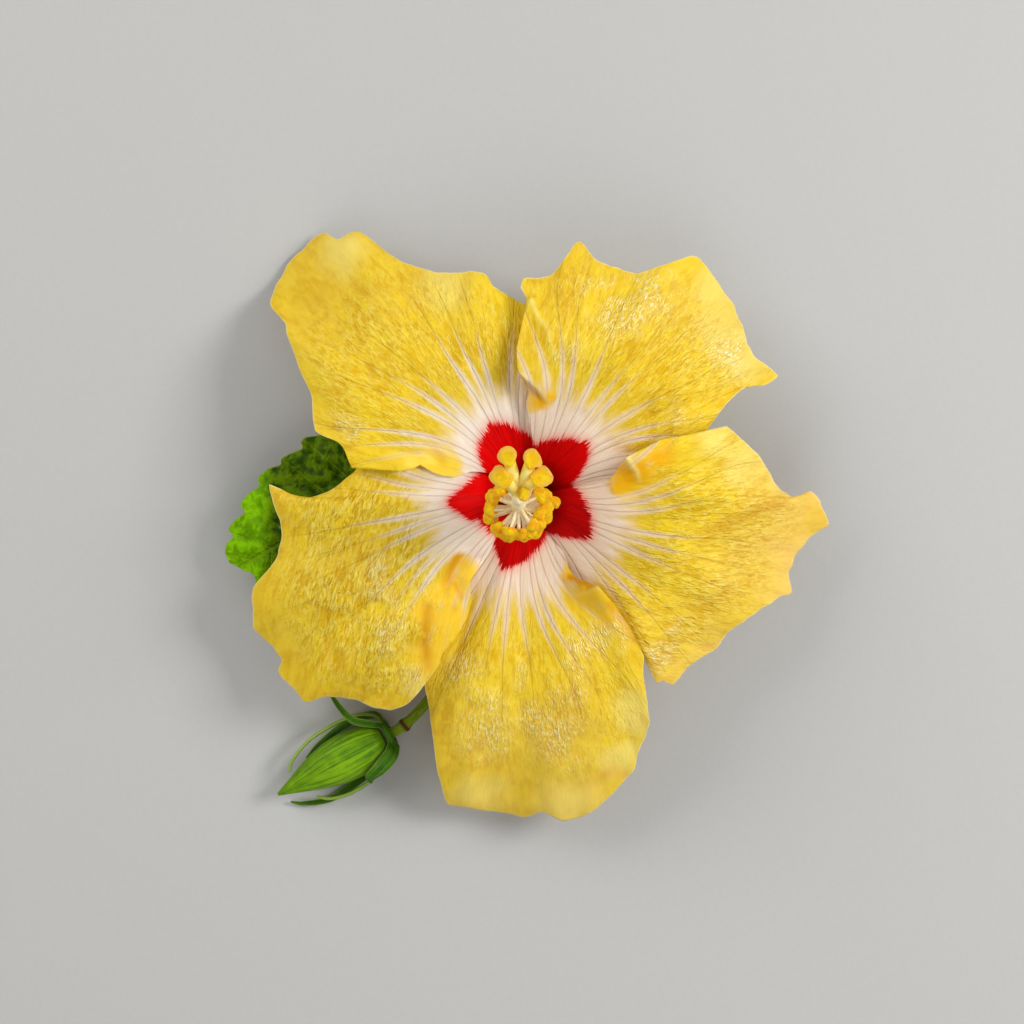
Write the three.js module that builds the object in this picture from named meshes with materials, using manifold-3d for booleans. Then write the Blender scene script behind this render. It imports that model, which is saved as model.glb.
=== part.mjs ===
// Hibiscus flower on a short picked twig, with one leaf and one bud, lying face up.
// Millimetres, +Z up along the flower's axis, z = 0 the surface that the sprig lies on.
import * as THREE from "three";
import { mergeVertices } from "three/addons/utils/BufferGeometryUtils.js";
import Module from "manifold-3d";

const wasm = await Module();
wasm.setup();

// ---------- driving dimensions ----------
const FLOWER_AXIS = [0, 7]; // where the flower's axis stands, so that the whole sprig is centred
const PETAL_THICKNESS = 0.7;
const BLADE_THICKNESS = 0.7; // leaf, sepals and bracts
const GAP = 0.3; // clear distance between neighbouring pieces
const PETAL_ROWS = 12;
const OVERLAP_LIFT = [0.65, 2.1]; // half the step between lapping petals, at the claw and outside

// The petals' common funnel, from the claw outwards: [distance along the petal, radius, height].
const FUNNEL = [
  [0, 4.6, 9],
  [4, 4.9, 13],
  [8.2, 6.1, 17],
  [12.8, 8.8, 20.7],
  [17.8, 12.6, 24],
  [23.5, 17.5, 26.9],
  [29.9, 23.5, 29.2],
  [36.6, 30, 30.8],
  [42.6, 36, 31.5],
];
const LIMB_START = 42.6; // beyond this distance a petal runs flat, then droops
const LIMB_RADIUS = 36;
const LIMB_HEIGHT = 31.5;

// Each petal seen from above, in mm from the flower's axis, anticlockwise round the flower.
// margin: its outer edge, from the hidden corner under the next petal to its own upper corner.
// lower, upper: the bearings in degrees of its two side edges, as [radius, bearing].
// droop: fall of the limb at 78 mm radius.  curl: [radius, height, reach] of the curled side lobe.
const PETALS = [
  {
    name: "petal_1",
    margin: [
      [7, 38.5], [3, 42], [-0.5, 44.5], [-8, 48.5], [-10, 51.5], [-14.5, 52.3], [-18.5, 52.5],
      [-24, 54], [-30, 56], [-35.5, 59.5], [-40.5, 63], [-44.5, 61], [-49.5, 63.5], [-53, 61.5],
      [-57.5, 58], [-61.5, 51.5], [-61.5, 45.5], [-56.5, 40], [-55, 36.5], [-53.5, 32.5],
      [-52, 28], [-50, 23.5], [-49.5, 19], [-48.5, 14.5], [-42.5, 11.5], [-40, 6],
    ],
    lower: [[4.6, 74], [13.5, 78], [22, 80], [29, 82], [39, 79.7]],
    upper: [[4.6, 150], [11, 151], [14.6, 157.5], [16.5, 163], [18, 166.7], [20.6, 167.7],
      [23, 167], [26.2, 164.7], [27.6, 167.5], [30.4, 170], [40.4, 171.5]],
    droop: 32,
    curl: [20.5, 1.6, 5],
    frill: [1.4, 3.5, 0.4],
  },
  {
    name: "petal_2",
    margin: [
      [38.5, 7], [41, 11.5], [42, 15.5], [46, 21], [52, 26], [56.5, 26.5], [59, 28.5], [54, 31.5],
      [51, 35], [50, 40], [48.5, 45], [44.5, 51.5], [39.5, 56], [35, 54.5], [30.5, 52.5],
      [25, 51.5], [20, 53], [15.5, 54.5], [11.5, 58.5], [8.5, 54.5], [6, 51], [2.5, 50],
      [-1, 50], [-1.7, 48],
    ],
    lower: [[4.6, 2], [10, 2], [21, 4], [27, 8], [33, 11], [39.1, 10.3]],
    upper: [[4.6, 80], [13.5, 85], [17.4, 89], [22, 91], [24, 89], [26, 91], [29.3, 94.6],
      [34, 94], [37.5, 92], [42.5, 90], [44.5, 90], [48, 92]],
    droop: 21,
    curl: [28, 2.4, 4],
    frill: [1.5, 4, 2.2],
  },
  {
    name: "petal_3",
    margin: [
      [19, -35.5], [23.5, -35.8], [26.5, -37], [27.5, -39], [30, -43], [33.5, -44], [37.5, -41.5],
      [41, -39], [45.5, -37], [47.5, -32], [53.5, -27], [59, -24], [62.5, -23], [62.5, -18.5],
      [63.5, -14.5], [67, -10], [71.5, -6.5], [69.5, -2.5], [67, 1], [62.5, -0.5], [58.5, 2.5],
      [55, 6], [51.5, 9.5], [48, 12.5], [44.5, 15.4],
    ],
    lower: [[4.6, -70], [10, -71], [16, -69], [22, -68], [28, -64], [40.3, -61.8]],
    upper: [[4.6, 8], [9.5, 9.5], [15, 11], [20.5, 11.5], [23, 16.5], [26, 21], [33, 22.5],
      [39.7, 20.2], [47.1, 19.1]],
    droop: 31,
    curl: [26.5, 3.4, 5],
    frill: [1.3, 3.5, 1],
  },
  {
    name: "petal_4",
    margin: [
      [-27.5, -37], [-26, -41], [-24.7, -44.7], [-24, -49], [-23, -55], [-22, -61], [-20.5, -68.5],
      [-19, -74], [-14.5, -74.5], [-9.5, -77], [-5, -77.3], [-1, -78], [3.5, -76], [9, -78],
      [12.5, -76], [16.5, -73], [22.5, -67.5], [25.5, -64], [26, -60.5], [28, -55.5], [28.5, -52],
      [28, -48.5], [26, -40.5], [26.3, -36.7],
    ],
    lower: [[4.6, 218], [13, 226], [25, 229], [38, 233], [46, 233.4]],
    upper: [[4.6, 294], [9.5, 295], [16, 302], [20, 299], [22.5, 299.5], [27.5, 307.2],
      [32, 308], [37.7, 307.5], [45.1, 305.6]],
    droop: 22,
    curl: [27.5, 3, 5],
    frill: [1.3, 3, 3.4],
  },
  {
    name: "petal_5",
    margin: [
      [-36, 11.5], [-38.5, 8.5], [-40, 5.7], [-47, 1], [-53.5, -1], [-60.5, 2.5], [-59, -3],
      [-58.5, -8.5], [-59.5, -14], [-62.5, -18.5], [-65.5, -22], [-64.5, -27], [-65.5, -31.5],
      [-62, -35], [-58.5, -40], [-59.5, -42.5], [-55, -45.5], [-52, -48.5], [-46.5, -46.5],
      [-40, -48], [-36, -49.3], [-31.5, -50], [-27.5, -48], [-24.8, -44.8],
    ],
    lower: [[4.6, 144], [11, 142], [16, 150], [23, 156], [30, 161], [37.8, 162.3]],
    upper: [[4.6, 224], [13, 233], [17, 236.5], [25, 236], [26.5, 239], [28.5, 242.3],
      [32, 243.6], [37.5, 243], [41, 241.5], [43.5, 242.3], [51.2, 241]],
    droop: 24,
    curl: [22, 2.6, 6],
    frill: [1.5, 4, 5],
  },
];

// Centreline of the staminal column, from the petals' claws to its tip.
const COLUMN_LINE = [
  [0, 0, 8.7], [0, 0, 13], [0.1, -0.6, 22], [-0.7, -2.1, 36], [-1.9, -3.1, 50], [-2.3, -2.4, 60],
  [-2.1, 0.2, 67],
];
const COLUMN_RADII = [[0, 3.3], [4, 3.2], [7.5, 2.1], [12, 1.8], [60, 1.5]]; // [length, radius]
const CAVITY_RADII = [[0, 2.6], [3.4, 2.5], [6.2, 0.85], [60, 0.85]]; // room for ovary and style
const OVARY_RADII = [[0, 2.2], [2.6, 2.1], [5.6, 0.5], [60, 0.5]];
const STAMENS = 46;
const STAMEN_SPAN = [27, 52]; // along the column, where the filaments leave it
const FILAMENT = { radius: 0.32, length: 5.6 };
const ANTHER = [1.6, 1.2, 1.1]; // half sizes
const STIGMA_PADS = [
  [-4.6, 7.7, 73.2], [0.6, 7.3, 73.4], [-6.5, 3.3, 72.8], [2.4, 3.9, 72.8], [-1, -0.2, 71.6],
];
const STIGMA_PAD = [2.1, 2.1, 1.5]; // half sizes

const TWIG_RADIUS = 2.2;
const TWIG_LINE = [[31, -10, 1.7], [19, -12, 1.7], [7, -15, 1.7], [-3, -20, 1.7], [-13, -24, 1.7],
  [-19, -26, 1.9], [-24.5, -27, 3]];
const FLOWER_PEDICEL = [[7, -15, 1.9], [4.4, -9, 2.3], [1.4, -3.2, 3], [0.1, -0.4, 4.9],
  [0, 0, 7.2]];
const BUD_PEDICEL = [[-13, -24, 2], [-16, -36, 5], [-22.5, -47.5, 6.6], [-29.3, -55, 6.2],
  [-33.9, -57.7, 5.9]];

const LEAF_BASE = [-30, 5, 15.5];
const LEAF_TIP = [-70, -18, 9];
const PETIOLE = [[-13.6, -20.6, 3.2], [-20, -14, 5.5], [-26.5, -4, 11], [-29.6, 3.8, 15.2],
  [-33, 2.3, 15.4]];
// Toothed margins, as [distance along the midrib, distance from it].
const LEAF_LEFT = [
  [-1.5, 5.5], [1.5, 11], [6, 15], [12.3, 17.7], [15.4, 18.9], [16.9, 18.5], [17.4, 16.9],
  [20.6, 17.3], [23, 17.4], [23.8, 16.2], [26.6, 16.8], [29.5, 16.5], [30.4, 15.8], [30.7, 14.3],
  [33.8, 14.2], [37, 12.9], [36.9, 10.7], [40, 10.3], [42.5, 9.1], [42.2, 7.1], [44.5, 6.4],
  [45.9, 4.9], [46.2, 3.4], [46.1, 2.2],
];
const LEAF_RIGHT = [
  [-1.8, 5], [1, 10.5], [5.5, 14.5], [11.5, 17], [14.6, 18.1], [16.2, 17.8], [16.8, 16.3],
  [20, 16.8], [22.4, 16.7], [23.1, 15.4], [26, 15.9], [28.8, 15.4], [29.8, 14.6], [29.9, 13.3],
  [33, 12.9], [35.8, 11.6], [35.9, 9.7], [38.8, 9.2], [41, 8], [40.9, 6.4], [42.8, 5.4],
  [42.4, 3.4], [43, 2], [44, 1.4],
];

const BUD_LINE = [[-34.6, -58.2, 5.6], [-47.3, -65, 5.4], [-60, -71.9, 5.8]];
const BUD_RADII = [[0, 2.4], [1.5, 4], [5, 5.3], [9, 5.7], [14, 5.3], [20, 3.7], [25.5, 1.6],
  [28.8, 0.35]];
const BUD_RING = [-33.2, -57.3, 5.95];
const BUD_BRACTS = [
  {
    path: [[-34.6, -55, 7.3], [-37.6, -54.6, 9], [-41.7, -53.6, 10], [-45, -50.3, 10],
      [-47.3, -46.8, 9.5]],
    across: [0.5, 0.85, 0],
    width: 1.9,
  },
  {
    path: [[-34.6, -54.7, 5.9], [-37.2, -52.8, 5.5], [-42.5, -53.2, 5], [-51.5, -58, 5],
      [-56.5, -63.5, 5.5], [-57.2, -66.4, 6]],
    across: [0, 0, 1],
    width: 2.2,
  },
  {
    path: [[-31.8, -59.9, 5.9], [-32.8, -63, 5.5], [-36.6, -67.6, 4.5], [-42, -71.4, 4],
      [-47.2, -73, 4], [-50.8, -72.6, 4.2]],
    across: [0, 0, 1],
    width: 2.2,
  },
  {
    path: [[-32.3, -59.1, 3.9], [-33.3, -62.5, 1.8], [-40, -68.6, 0.9], [-47.5, -73.4, 0.9],
      [-54, -74.6, 0.9], [-57.3, -74.2, 1]],
    across: [-0.5, 0.85, 0],
    width: 1.8,
  },
  {
    path: [[-32, -59.6, 7.3], [-32.8, -62.3, 9.4], [-35.4, -65.3, 10], [-37.6, -67.3, 8.4],
      [-37.5, -68.8, 6.6]],
    across: [-0.85, 0.5, 0.1],
    width: 3.4,
  },
  {
    path: [[-34.3, -55.2, 4], [-36.8, -53, 2], [-43, -54.8, 1], [-49.5, -59.5, 0.9],
      [-53.5, -63.6, 0.9]],
    across: [0, 1, 0],
    width: 1.8,
  },
];

// ---------- small helpers ----------
const v3 = (p) => new THREE.Vector3(p[0], p[1], p[2]);
const clamp01 = (x) => Math.min(1, Math.max(0, x));
const mix = (a, b, t) => a + (b - a) * t;
const radians = (deg) => (deg * Math.PI) / 180;

function smooth(a, b, x) {
  const t = clamp01((x - a) / (b - a));
  return t * t * (3 - 2 * t);
}

// Value of a smooth curve through rows [x, y...] at x, for column c; straight beyond its ends.
function curve(rows, x, c = 1) {
  const last = rows.length - 1;
  let i = 0;
  while (i < last - 1 && x > rows[i + 1][0]) i += 1;
  const slope = (k) => {
    const a = rows[Math.max(0, k - 1)];
    const b = rows[Math.min(last, k + 1)];
    return (b[c] - a[c]) / (b[0] - a[0]);
  };
  const [p, q] = [rows[i], rows[i + 1]];
  const h = q[0] - p[0];
  const t = (x - p[0]) / h;
  if (t < 0) return p[c] + slope(i) * (x - p[0]);
  if (t > 1) return q[c] + slope(i + 1) * (x - q[0]);
  const t2 = t * t;
  const t3 = t2 * t;
  return (
    (2 * t3 - 3 * t2 + 1) * p[c] +
    (t3 - 2 * t2 + t) * h * slope(i) +
    (3 * t2 - 2 * t3) * q[c] +
    (t3 - t2) * h * slope(i + 1)
  );
}

// Broken line through rows [x, y] at x, level beyond its ends.
function line(rows, x) {
  if (x <= rows[0][0]) return rows[0][1];
  for (let i = 1; i < rows.length; i += 1) {
    const [a, b] = [rows[i - 1], rows[i]];
    if (x <= b[0]) return mix(a[1], b[1], (x - a[0]) / (b[0] - a[0]));
  }
  return rows[rows.length - 1][1];
}

// Repeatable random numbers from 0 to 1.
function randomFrom(seed) {
  let state = seed;
  return () => {
    state = (state * 1664525 + 1013904223) % 4294967296;
    return state / 4294967296;
  };
}

function geometryOf(points, faces) {
  const geometry = new THREE.BufferGeometry();
  geometry.setAttribute("position", new THREE.Float32BufferAttribute(points.flat(), 3));
  geometry.setIndex(faces.flat());
  return geometry;
}

function solidOf(geometry) {
  const plain = geometry.clone();
  plain.deleteAttribute("normal");
  plain.deleteAttribute("uv");
  const merged = mergeVertices(plain, 1e-4);
  return new wasm.Manifold(
    new wasm.Mesh({
      numProp: 3,
      vertProperties: new Float32Array(merged.attributes.position.array),
      triVerts: new Uint32Array(merged.index.array),
    }),
  );
}

function geometryFrom(solid) {
  const mesh = solid.getMesh();
  const geometry = new THREE.BufferGeometry();
  geometry.setAttribute("position", new THREE.BufferAttribute(mesh.vertProperties, 3));
  geometry.setIndex(new THREE.BufferAttribute(mesh.triVerts, 1));
  return geometry;
}

function fuse(geometries) {
  let whole = solidOf(geometries[0]);
  for (const geometry of geometries.slice(1)) whole = whole.add(solidOf(geometry));
  return whole;
}

// A blade of even thickness from a grid of its middle points, grid[column][row].
// Both faces are triangulated alike. A ring's columns close on themselves.
function blade(grid, thickness, ring = false) {
  const columns = grid.length;
  const rows = grid[0].length;
  const wrap = (j) => (ring ? (j + columns) % columns : Math.min(columns - 1, Math.max(0, j)));
  const upper = [];
  const lower = [];
  for (let j = 0; j < columns; j += 1) {
    for (let i = 0; i < rows; i += 1) {
      const across = grid[wrap(j + 1)][i].clone().sub(grid[wrap(j - 1)][i]);
      const along = grid[j][Math.min(rows - 1, i + 1)].clone().sub(grid[j][Math.max(0, i - 1)]);
      const out = along.cross(across).normalize().multiplyScalar(thickness / 2);
      upper.push(grid[j][i].clone().add(out).toArray());
      lower.push(grid[j][i].clone().sub(out).toArray());
    }
  }
  const at = (j, i) => wrap(j) * rows + i;
  const under = upper.length;
  const faces = [];
  const steps = ring ? columns : columns - 1;
  for (let j = 0; j < steps; j += 1) {
    for (let i = 0; i < rows - 1; i += 1) {
      const [a, b, c, d] = [at(j, i), at(j, i + 1), at(j + 1, i + 1), at(j + 1, i)];
      faces.push([a, b, c], [a, c, d]);
      faces.push([under + a, under + c, under + b], [under + a, under + d, under + c]);
    }
    for (const [i, turn] of [[0, false], [rows - 1, true]]) {
      const [a, d] = turn ? [at(j + 1, i), at(j, i)] : [at(j, i), at(j + 1, i)];
      faces.push([a, d, under + d], [a, under + d, under + a]);
    }
  }
  for (let i = 0; i < rows - 1 && !ring; i += 1) {
    for (const [j, turn] of [[0, false], [columns - 1, true]]) {
      const [a, b] = turn ? [at(j, i), at(j, i + 1)] : [at(j, i + 1), at(j, i)];
      faces.push([a, b, under + b], [a, under + b, under + a]);
    }
  }
  return geometryOf([...upper, ...lower], faces);
}

// A round bar along a smooth line, its radius a function of the distance from its start.
// shape(angle, distance) may vary the radius round the bar.
function bar(points, radiusAt, { sides = 8, steps = 12, shape = () => 1, from = 0, to = 1 } = {}) {
  const path = new THREE.CatmullRomCurve3(points.map(v3));
  const length = path.getLength();
  const side = new THREE.Vector3();
  const up = new THREE.Vector3();
  const vertices = [];
  let across = null;
  for (let i = 0; i <= steps; i += 1) {
    const share = mix(from, to, i / steps);
    const centre = path.getPointAt(share);
    const ahead = path.getTangentAt(share);
    if (!across) across = Math.abs(ahead.z) > 0.9 ? new THREE.Vector3(1, 0, 0) : new THREE.Vector3(0, 0, 1);
    side.crossVectors(across, ahead).normalize();
    up.crossVectors(ahead, side).normalize();
    across = up.clone();
    for (let k = 0; k < sides; k += 1) {
      const angle = (2 * Math.PI * k) / sides;
      const radius = radiusAt(share * length) * shape(angle, share * length);
      const spoke = side.clone().multiplyScalar(Math.cos(angle) * radius);
      spoke.addScaledVector(up, Math.sin(angle) * radius);
      vertices.push(centre.clone().add(spoke).toArray());
    }
  }
  const start = vertices.push(path.getPointAt(from).toArray()) - 1;
  const end = vertices.push(path.getPointAt(to).toArray()) - 1;
  const faces = [];
  for (let k = 0; k < sides; k += 1) {
    const next = (k + 1) % sides;
    for (let i = 0; i < steps; i += 1) {
      const [a, b] = [i * sides + k, i * sides + next];
      faces.push([a, b, b + sides], [a, b + sides, a + sides]);
    }
    faces.push([start, next, k]);
    faces.push([end, steps * sides + k, steps * sides + next]);
  }
  return geometryOf(vertices, faces);
}

// A narrow pointed blade along a smooth line, `width` wide in the direction of `across`.
function bract(points, across, width, rows = 5) {
  const path = new THREE.CatmullRomCurve3(points.map(v3));
  const grid = [[], [], []];
  for (let i = 0; i <= rows; i += 1) {
    const share = i / rows;
    const centre = path.getPointAt(share);
    const ahead = path.getTangentAt(share);
    const side = v3(across);
    side.addScaledVector(ahead, -side.dot(ahead)).normalize();
    const half = (width / 2) * (0.3 + 0.7 * Math.sin(Math.PI * (0.25 + share * 0.72)));
    const hollow = side.clone().cross(ahead).multiplyScalar(0.2 * half);
    grid[0].push(centre.clone().addScaledVector(side, -half));
    grid[1].push(centre.clone().add(hollow));
    grid[2].push(centre.clone().addScaledVector(side, half));
  }
  return blade(grid, BLADE_THICKNESS);
}

// ---------- petals ----------
const overlapLift = (u) => mix(OVERLAP_LIFT[0], OVERLAP_LIFT[1], smooth(8, 42, u));

function funnelAt(u, droop) {
  if (u < LIMB_START) return [curve(FUNNEL, u, 1), curve(FUNNEL, u, 2)];
  const beyond = u - LIMB_START;
  return [LIMB_RADIUS + beyond, LIMB_HEIGHT - droop * (beyond / 42) ** 1.8];
}

// Distance along a petal at which the funnel has this radius.
function reachAt(radius) {
  if (radius >= LIMB_RADIUS) return LIMB_START + radius - LIMB_RADIUS;
  let [low, high] = [0, LIMB_START];
  for (let k = 0; k < 30; k += 1) {
    const middle = (low + high) / 2;
    if (curve(FUNNEL, middle, 1) < radius) low = middle;
    else high = middle;
  }
  return (low + high) / 2;
}

// Point of the funnel at a bearing, raised by `lift` square to it.
function funnelPoint(u, bearing, lift, droop) {
  const [radius, height] = funnelAt(u, droop);
  const [r0, z0] = funnelAt(u - 0.2, droop);
  const [r1, z1] = funnelAt(u + 0.2, droop);
  const run = Math.hypot(r1 - r0, z1 - z0);
  const r = radius - (lift * (z1 - z0)) / run;
  const z = height + (lift * (r1 - r0)) / run;
  return new THREE.Vector3(r * Math.cos(bearing), r * Math.sin(bearing), z);
}

function petalGrid(petal) {
  const lower = petal.lower.map(([r, b]) => [reachAt(r), radians(b)]);
  const upper = petal.upper.map(([r, b]) => [reachAt(r), radians(b)]);
  const steps = petal.margin.map((p, k) => {
    const q = petal.margin[Math.max(0, k - 1)];
    return Math.hypot(p[0] - q[0], p[1] - q[1]);
  });
  const total = steps.reduce((sum, step) => sum + step, 0);
  const middle = (line(lower, 40) + line(upper, 40)) / 2;
  const [depth, waves, phase] = petal.frill;
  let run = 0;
  return petal.margin.map(([x, y], j) => {
    run += steps[j];
    const s = (2 * run) / total - 1;
    const edge = reachAt(Math.hypot(x, y));
    const turn = Math.atan2(y, x) - middle;
    const bearing = middle + Math.atan2(Math.sin(turn), Math.cos(turn));
    const even = (u) => mix(line(lower, u), line(upper, u), (s + 1) / 2);
    const shift = bearing - even(edge);
    const column = [];
    for (let i = 0; i <= PETAL_ROWS; i += 1) {
      const t = i / PETAL_ROWS;
      const u = edge * t;
      const free = (1 - s ** 6) * smooth(14, 45, u);
      const frill = depth * free * (0.25 + 0.75 * t ** 3) * Math.sin(waves * Math.PI * s + phase + 2.5 * t);
      const channel = -0.9 * free * Math.exp(-((s / 0.25) ** 2)) * (1 - t * t);
      const [lobe, height, reach] = petal.curl;
      const curl = height * Math.exp(-(((u - reachAt(lobe)) / reach) ** 2)) * smooth(0.62, 1, s);
      const lift = overlapLift(u) * Math.sin((Math.PI * s) / 2) + frill + channel + curl;
      const point = funnelPoint(u, even(u) + shift * t * t, lift, petal.droop);
      point.z = Math.max(point.z, PETAL_THICKNESS / 2);
      column.push(point);
    }
    return column;
  });
}

const petalParts = PETALS.map((petal) => [petal.name, blade(petalGrid(petal), PETAL_THICKNESS)]);

// ---------- staminal column and pistil ----------
const columnPath = new THREE.CatmullRomCurve3(COLUMN_LINE.map(v3));
const columnLength = columnPath.getLength();

function columnTube() {
  const crown = (angle, d) => (d > 56 ? 1 + 0.14 * Math.cos(5 * angle) : 1);
  const outside = bar(COLUMN_LINE, (d) => line(COLUMN_RADII, d), {
    sides: 10,
    steps: 14,
    shape: crown,
    to: 0.965,
  });
  const inside = bar(stretched(COLUMN_LINE, 0.5), (d) => line(CAVITY_RADII, d), { steps: 16 });
  return solidOf(outside).subtract(solidOf(inside));
}

// The same line carried on by `extra` at both ends.
function stretched(points, extra) {
  const first = v3(points[0]);
  const last = v3(points[points.length - 1]);
  const back = first.clone().sub(v3(points[1])).setLength(extra);
  const ahead = last.clone().sub(v3(points[points.length - 2])).setLength(extra);
  return [first.add(back).toArray(), ...points.slice(1, -1), last.add(ahead).toArray()];
}

function stamens() {
  const random = randomFrom(7);
  const golden = Math.PI * (3 - Math.sqrt(5));
  const parts = [];
  for (let k = 0; k < STAMENS; k += 1) {
    const share = k / (STAMENS - 1);
    const at = mix(STAMEN_SPAN[0], STAMEN_SPAN[1], share ** 0.8) / columnLength;
    const root = columnPath.getPointAt(at);
    const ahead = columnPath.getTangentAt(at);
    const angle = k * golden + 0.3 * random();
    const side = new THREE.Vector3(Math.cos(angle), Math.sin(angle), 0);
    side.addScaledVector(ahead, -side.dot(ahead)).normalize();
    const length = FILAMENT.length * (0.88 + 0.24 * random()) * (1 - 0.2 * share);
    const rise = 0.25 + 0.3 * random();
    const tip = root.clone().addScaledVector(side, length + 1).addScaledVector(ahead, rise * length);
    const bend = root.clone().addScaledVector(side, length * 0.5 + 1);
    const start = root.clone().addScaledVector(side, 1.15);
    const points = [start, bend.addScaledVector(ahead, 0.1 * length), tip].map((p) => p.toArray());
    parts.push(bar(points, () => FILAMENT.radius, { sides: 4, steps: 1 }));
    const anther = new THREE.IcosahedronGeometry(1, 0);
    anther.scale(ANTHER[0], ANTHER[1], ANTHER[2]);
    anther.rotateZ(Math.PI * random());
    anther.rotateY(0.8 * random());
    anther.rotateZ(angle);
    anther.translate(tip.x, tip.y, tip.z);
    parts.push(anther);
  }
  return parts;
}

function pistil() {
  const style = bar(COLUMN_LINE, (d) => line(OVARY_RADII, d - 0.3), { steps: 16, from: 0.005 });
  const parts = [style];
  const fork = v3(COLUMN_LINE[COLUMN_LINE.length - 1]);
  for (const pad of STIGMA_PADS) {
    const end = v3(pad);
    const away = end.clone().sub(fork);
    const bend = fork.clone().addScaledVector(away, 0.5);
    bend.z += 0.6;
    const root = fork.clone();
    root.z -= 0.8;
    parts.push(bar([root, bend, end].map((p) => p.toArray()), () => 0.5, { sides: 6, steps: 3 }));
    const head = new THREE.SphereGeometry(1, 8, 6);
    head.rotateX(Math.PI / 2);
    head.scale(STIGMA_PAD[0], STIGMA_PAD[1], STIGMA_PAD[2]);
    head.rotateY(0.09 * away.x);
    head.rotateX(-0.09 * away.y);
    head.translate(end.x, end.y, end.z);
    parts.push(head);
  }
  return fuse(parts);
}

const columnPart = stamens().reduce((whole, part) => whole.add(solidOf(part)), columnTube());

// ---------- calyx and epicalyx of the flower ----------
const SEPALS = 5;
const CUP_RIM = 13; // along the funnel, where the sepals part
const SEPAL_END = 27;

function cupGrid() {
  const columns = 30;
  const rows = 6;
  const grid = [];
  for (let j = 0; j < columns; j += 1) {
    const bearing = (2 * Math.PI * j) / columns;
    const share = ((bearing * SEPALS) / (2 * Math.PI)) % 1;
    const lobe = 1 - Math.abs(2 * share - 1) ** 1.1;
    const end = CUP_RIM + (SEPAL_END - CUP_RIM) * lobe;
    const column = [];
    for (let i = 0; i <= rows; i += 1) {
      const u = -0.4 + (end + 0.4) * (i / rows);
      const lift = -(overlapLift(u) + PETAL_THICKNESS / 2 + GAP + BLADE_THICKNESS / 2 + 0.15);
      column.push(funnelPoint(u, bearing + radians(8), lift, 0));
    }
    grid.push(column);
  }
  return grid;
}

function calyx() {
  const floor = new THREE.CylinderGeometry(6.3, 5.4, 0.8, 20).rotateX(Math.PI / 2);
  floor.translate(0, 0, 8.2);
  return fuse([blade(cupGrid(), BLADE_THICKNESS, true), floor]);
}

function epicalyx() {
  const ring = [[2, 6.4], [6.6, 6.4], [8.2, 7.2], [8, 7.5], [2, 7.5], [2, 6.4]];
  const profile = ring.map(([r, z]) => new THREE.Vector2(r, z));
  const parts = [new THREE.LatheGeometry(profile, 16).rotateX(Math.PI / 2)];
  for (let k = 0; k < 7; k += 1) {
    const bearing = radians(20 + (360 * k) / 7);
    const [c, s] = [Math.cos(bearing), Math.sin(bearing)];
    const path = [[6.8, 7], [8.6, 8.2], [10.6, 11.5], [13.6, 15.6], [17.6, 17.6]];
    const points = path.map(([r, z]) => [r * c, r * s, z]);
    parts.push(bract(points, [-s, c, 0], 2.6));
  }
  return fuse(parts);
}

// ---------- stem, leaf, bud ----------
function stem() {
  const taper = (d) => TWIG_RADIUS * (d > 50 ? mix(1, 0.35, (d - 50) / 10) : 1);
  const knuckle = (at, width, rise) => (d) => rise * Math.exp(-(((d - at) / width) ** 2));
  const flowerJoint = knuckle(6.5, 1.1, 0.4);
  const budJoint = knuckle(36.5, 1.1, 0.45);
  const parts = [
    bar(TWIG_LINE, taper, { sides: 10, steps: 10 }),
    bar(FLOWER_PEDICEL, (d) => 1.3 + flowerJoint(d) + 0.6 * smooth(13, 18, d), { steps: 11 }),
    bar(BUD_PEDICEL, (d) => 1.25 + budJoint(d) + 0.5 * smooth(40, 43, d), { steps: 16 }),
  ];
  for (const [x, y, scale] of [[7, -15, 2.7], [-13, -24, 2.7]]) {
    const node = new THREE.IcosahedronGeometry(scale, 1);
    node.translate(x, y, 1.7);
    parts.push(node);
  }
  const ground = new THREE.BoxGeometry(200, 200, 20);
  ground.translate(0, 0, -10);
  return fuse(parts).subtract(solidOf(ground));
}

function leaf() {
  const base = v3(LEAF_BASE);
  const tip = v3(LEAF_TIP);
  const along = tip.clone().sub(base);
  const length = Math.hypot(along.x, along.y);
  const ahead = new THREE.Vector3(along.x / length, along.y / length, 0);
  const left = new THREE.Vector3(ahead.y, -ahead.x, 0);
  const ribs = LEAF_LEFT.map((p, k) => [p, LEAF_RIGHT[k], 1 + k * 1.9]);
  const place = (a, b) => {
    const share = clamp01(a / length);
    const arch = 3.2 * Math.sin(Math.PI * share) - 0.012 * b * b;
    const quilt = 0.45 * Math.sin(a * 1.03 - Math.abs(b) * 0.75) * smooth(1, 5, Math.abs(b));
    const point = base.clone().addScaledVector(ahead, a).addScaledVector(left, b);
    point.z = mix(base.z, tip.z, share) + arch + quilt;
    return point;
  };
  const shares = [1, 0.78, 0.52, 0.26, 0, -0.26, -0.52, -0.78, -1];
  const grid = ribs.map(([l, r, root]) =>
    shares.map((w) => {
      const edge = w > 0 ? l : [r[0], -r[1]];
      const f = Math.abs(w);
      return place(mix(root, edge[0], f ** 1.15), edge[1] * f);
    }),
  );
  const stalk = bar(PETIOLE, (d) => mix(1.1, 0.75, clamp01(d / 35)), { sides: 7, steps: 12 });
  return fuse([blade(grid, BLADE_THICKNESS), stalk]);
}

function bud() {
  const ridge = (angle, d) => 1 + 0.05 * Math.cos(5 * angle + 0.12 * d) + 0.02 * Math.cos(15 * angle);
  const shape = bar(BUD_LINE, (d) => line(BUD_RADII, d), { sides: 20, steps: 12, shape: ridge });
  const position = shape.attributes.position;
  for (let k = 0; k < position.count; k += 1) position.setZ(k, Math.max(0, position.getZ(k)));
  return shape;
}

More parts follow.
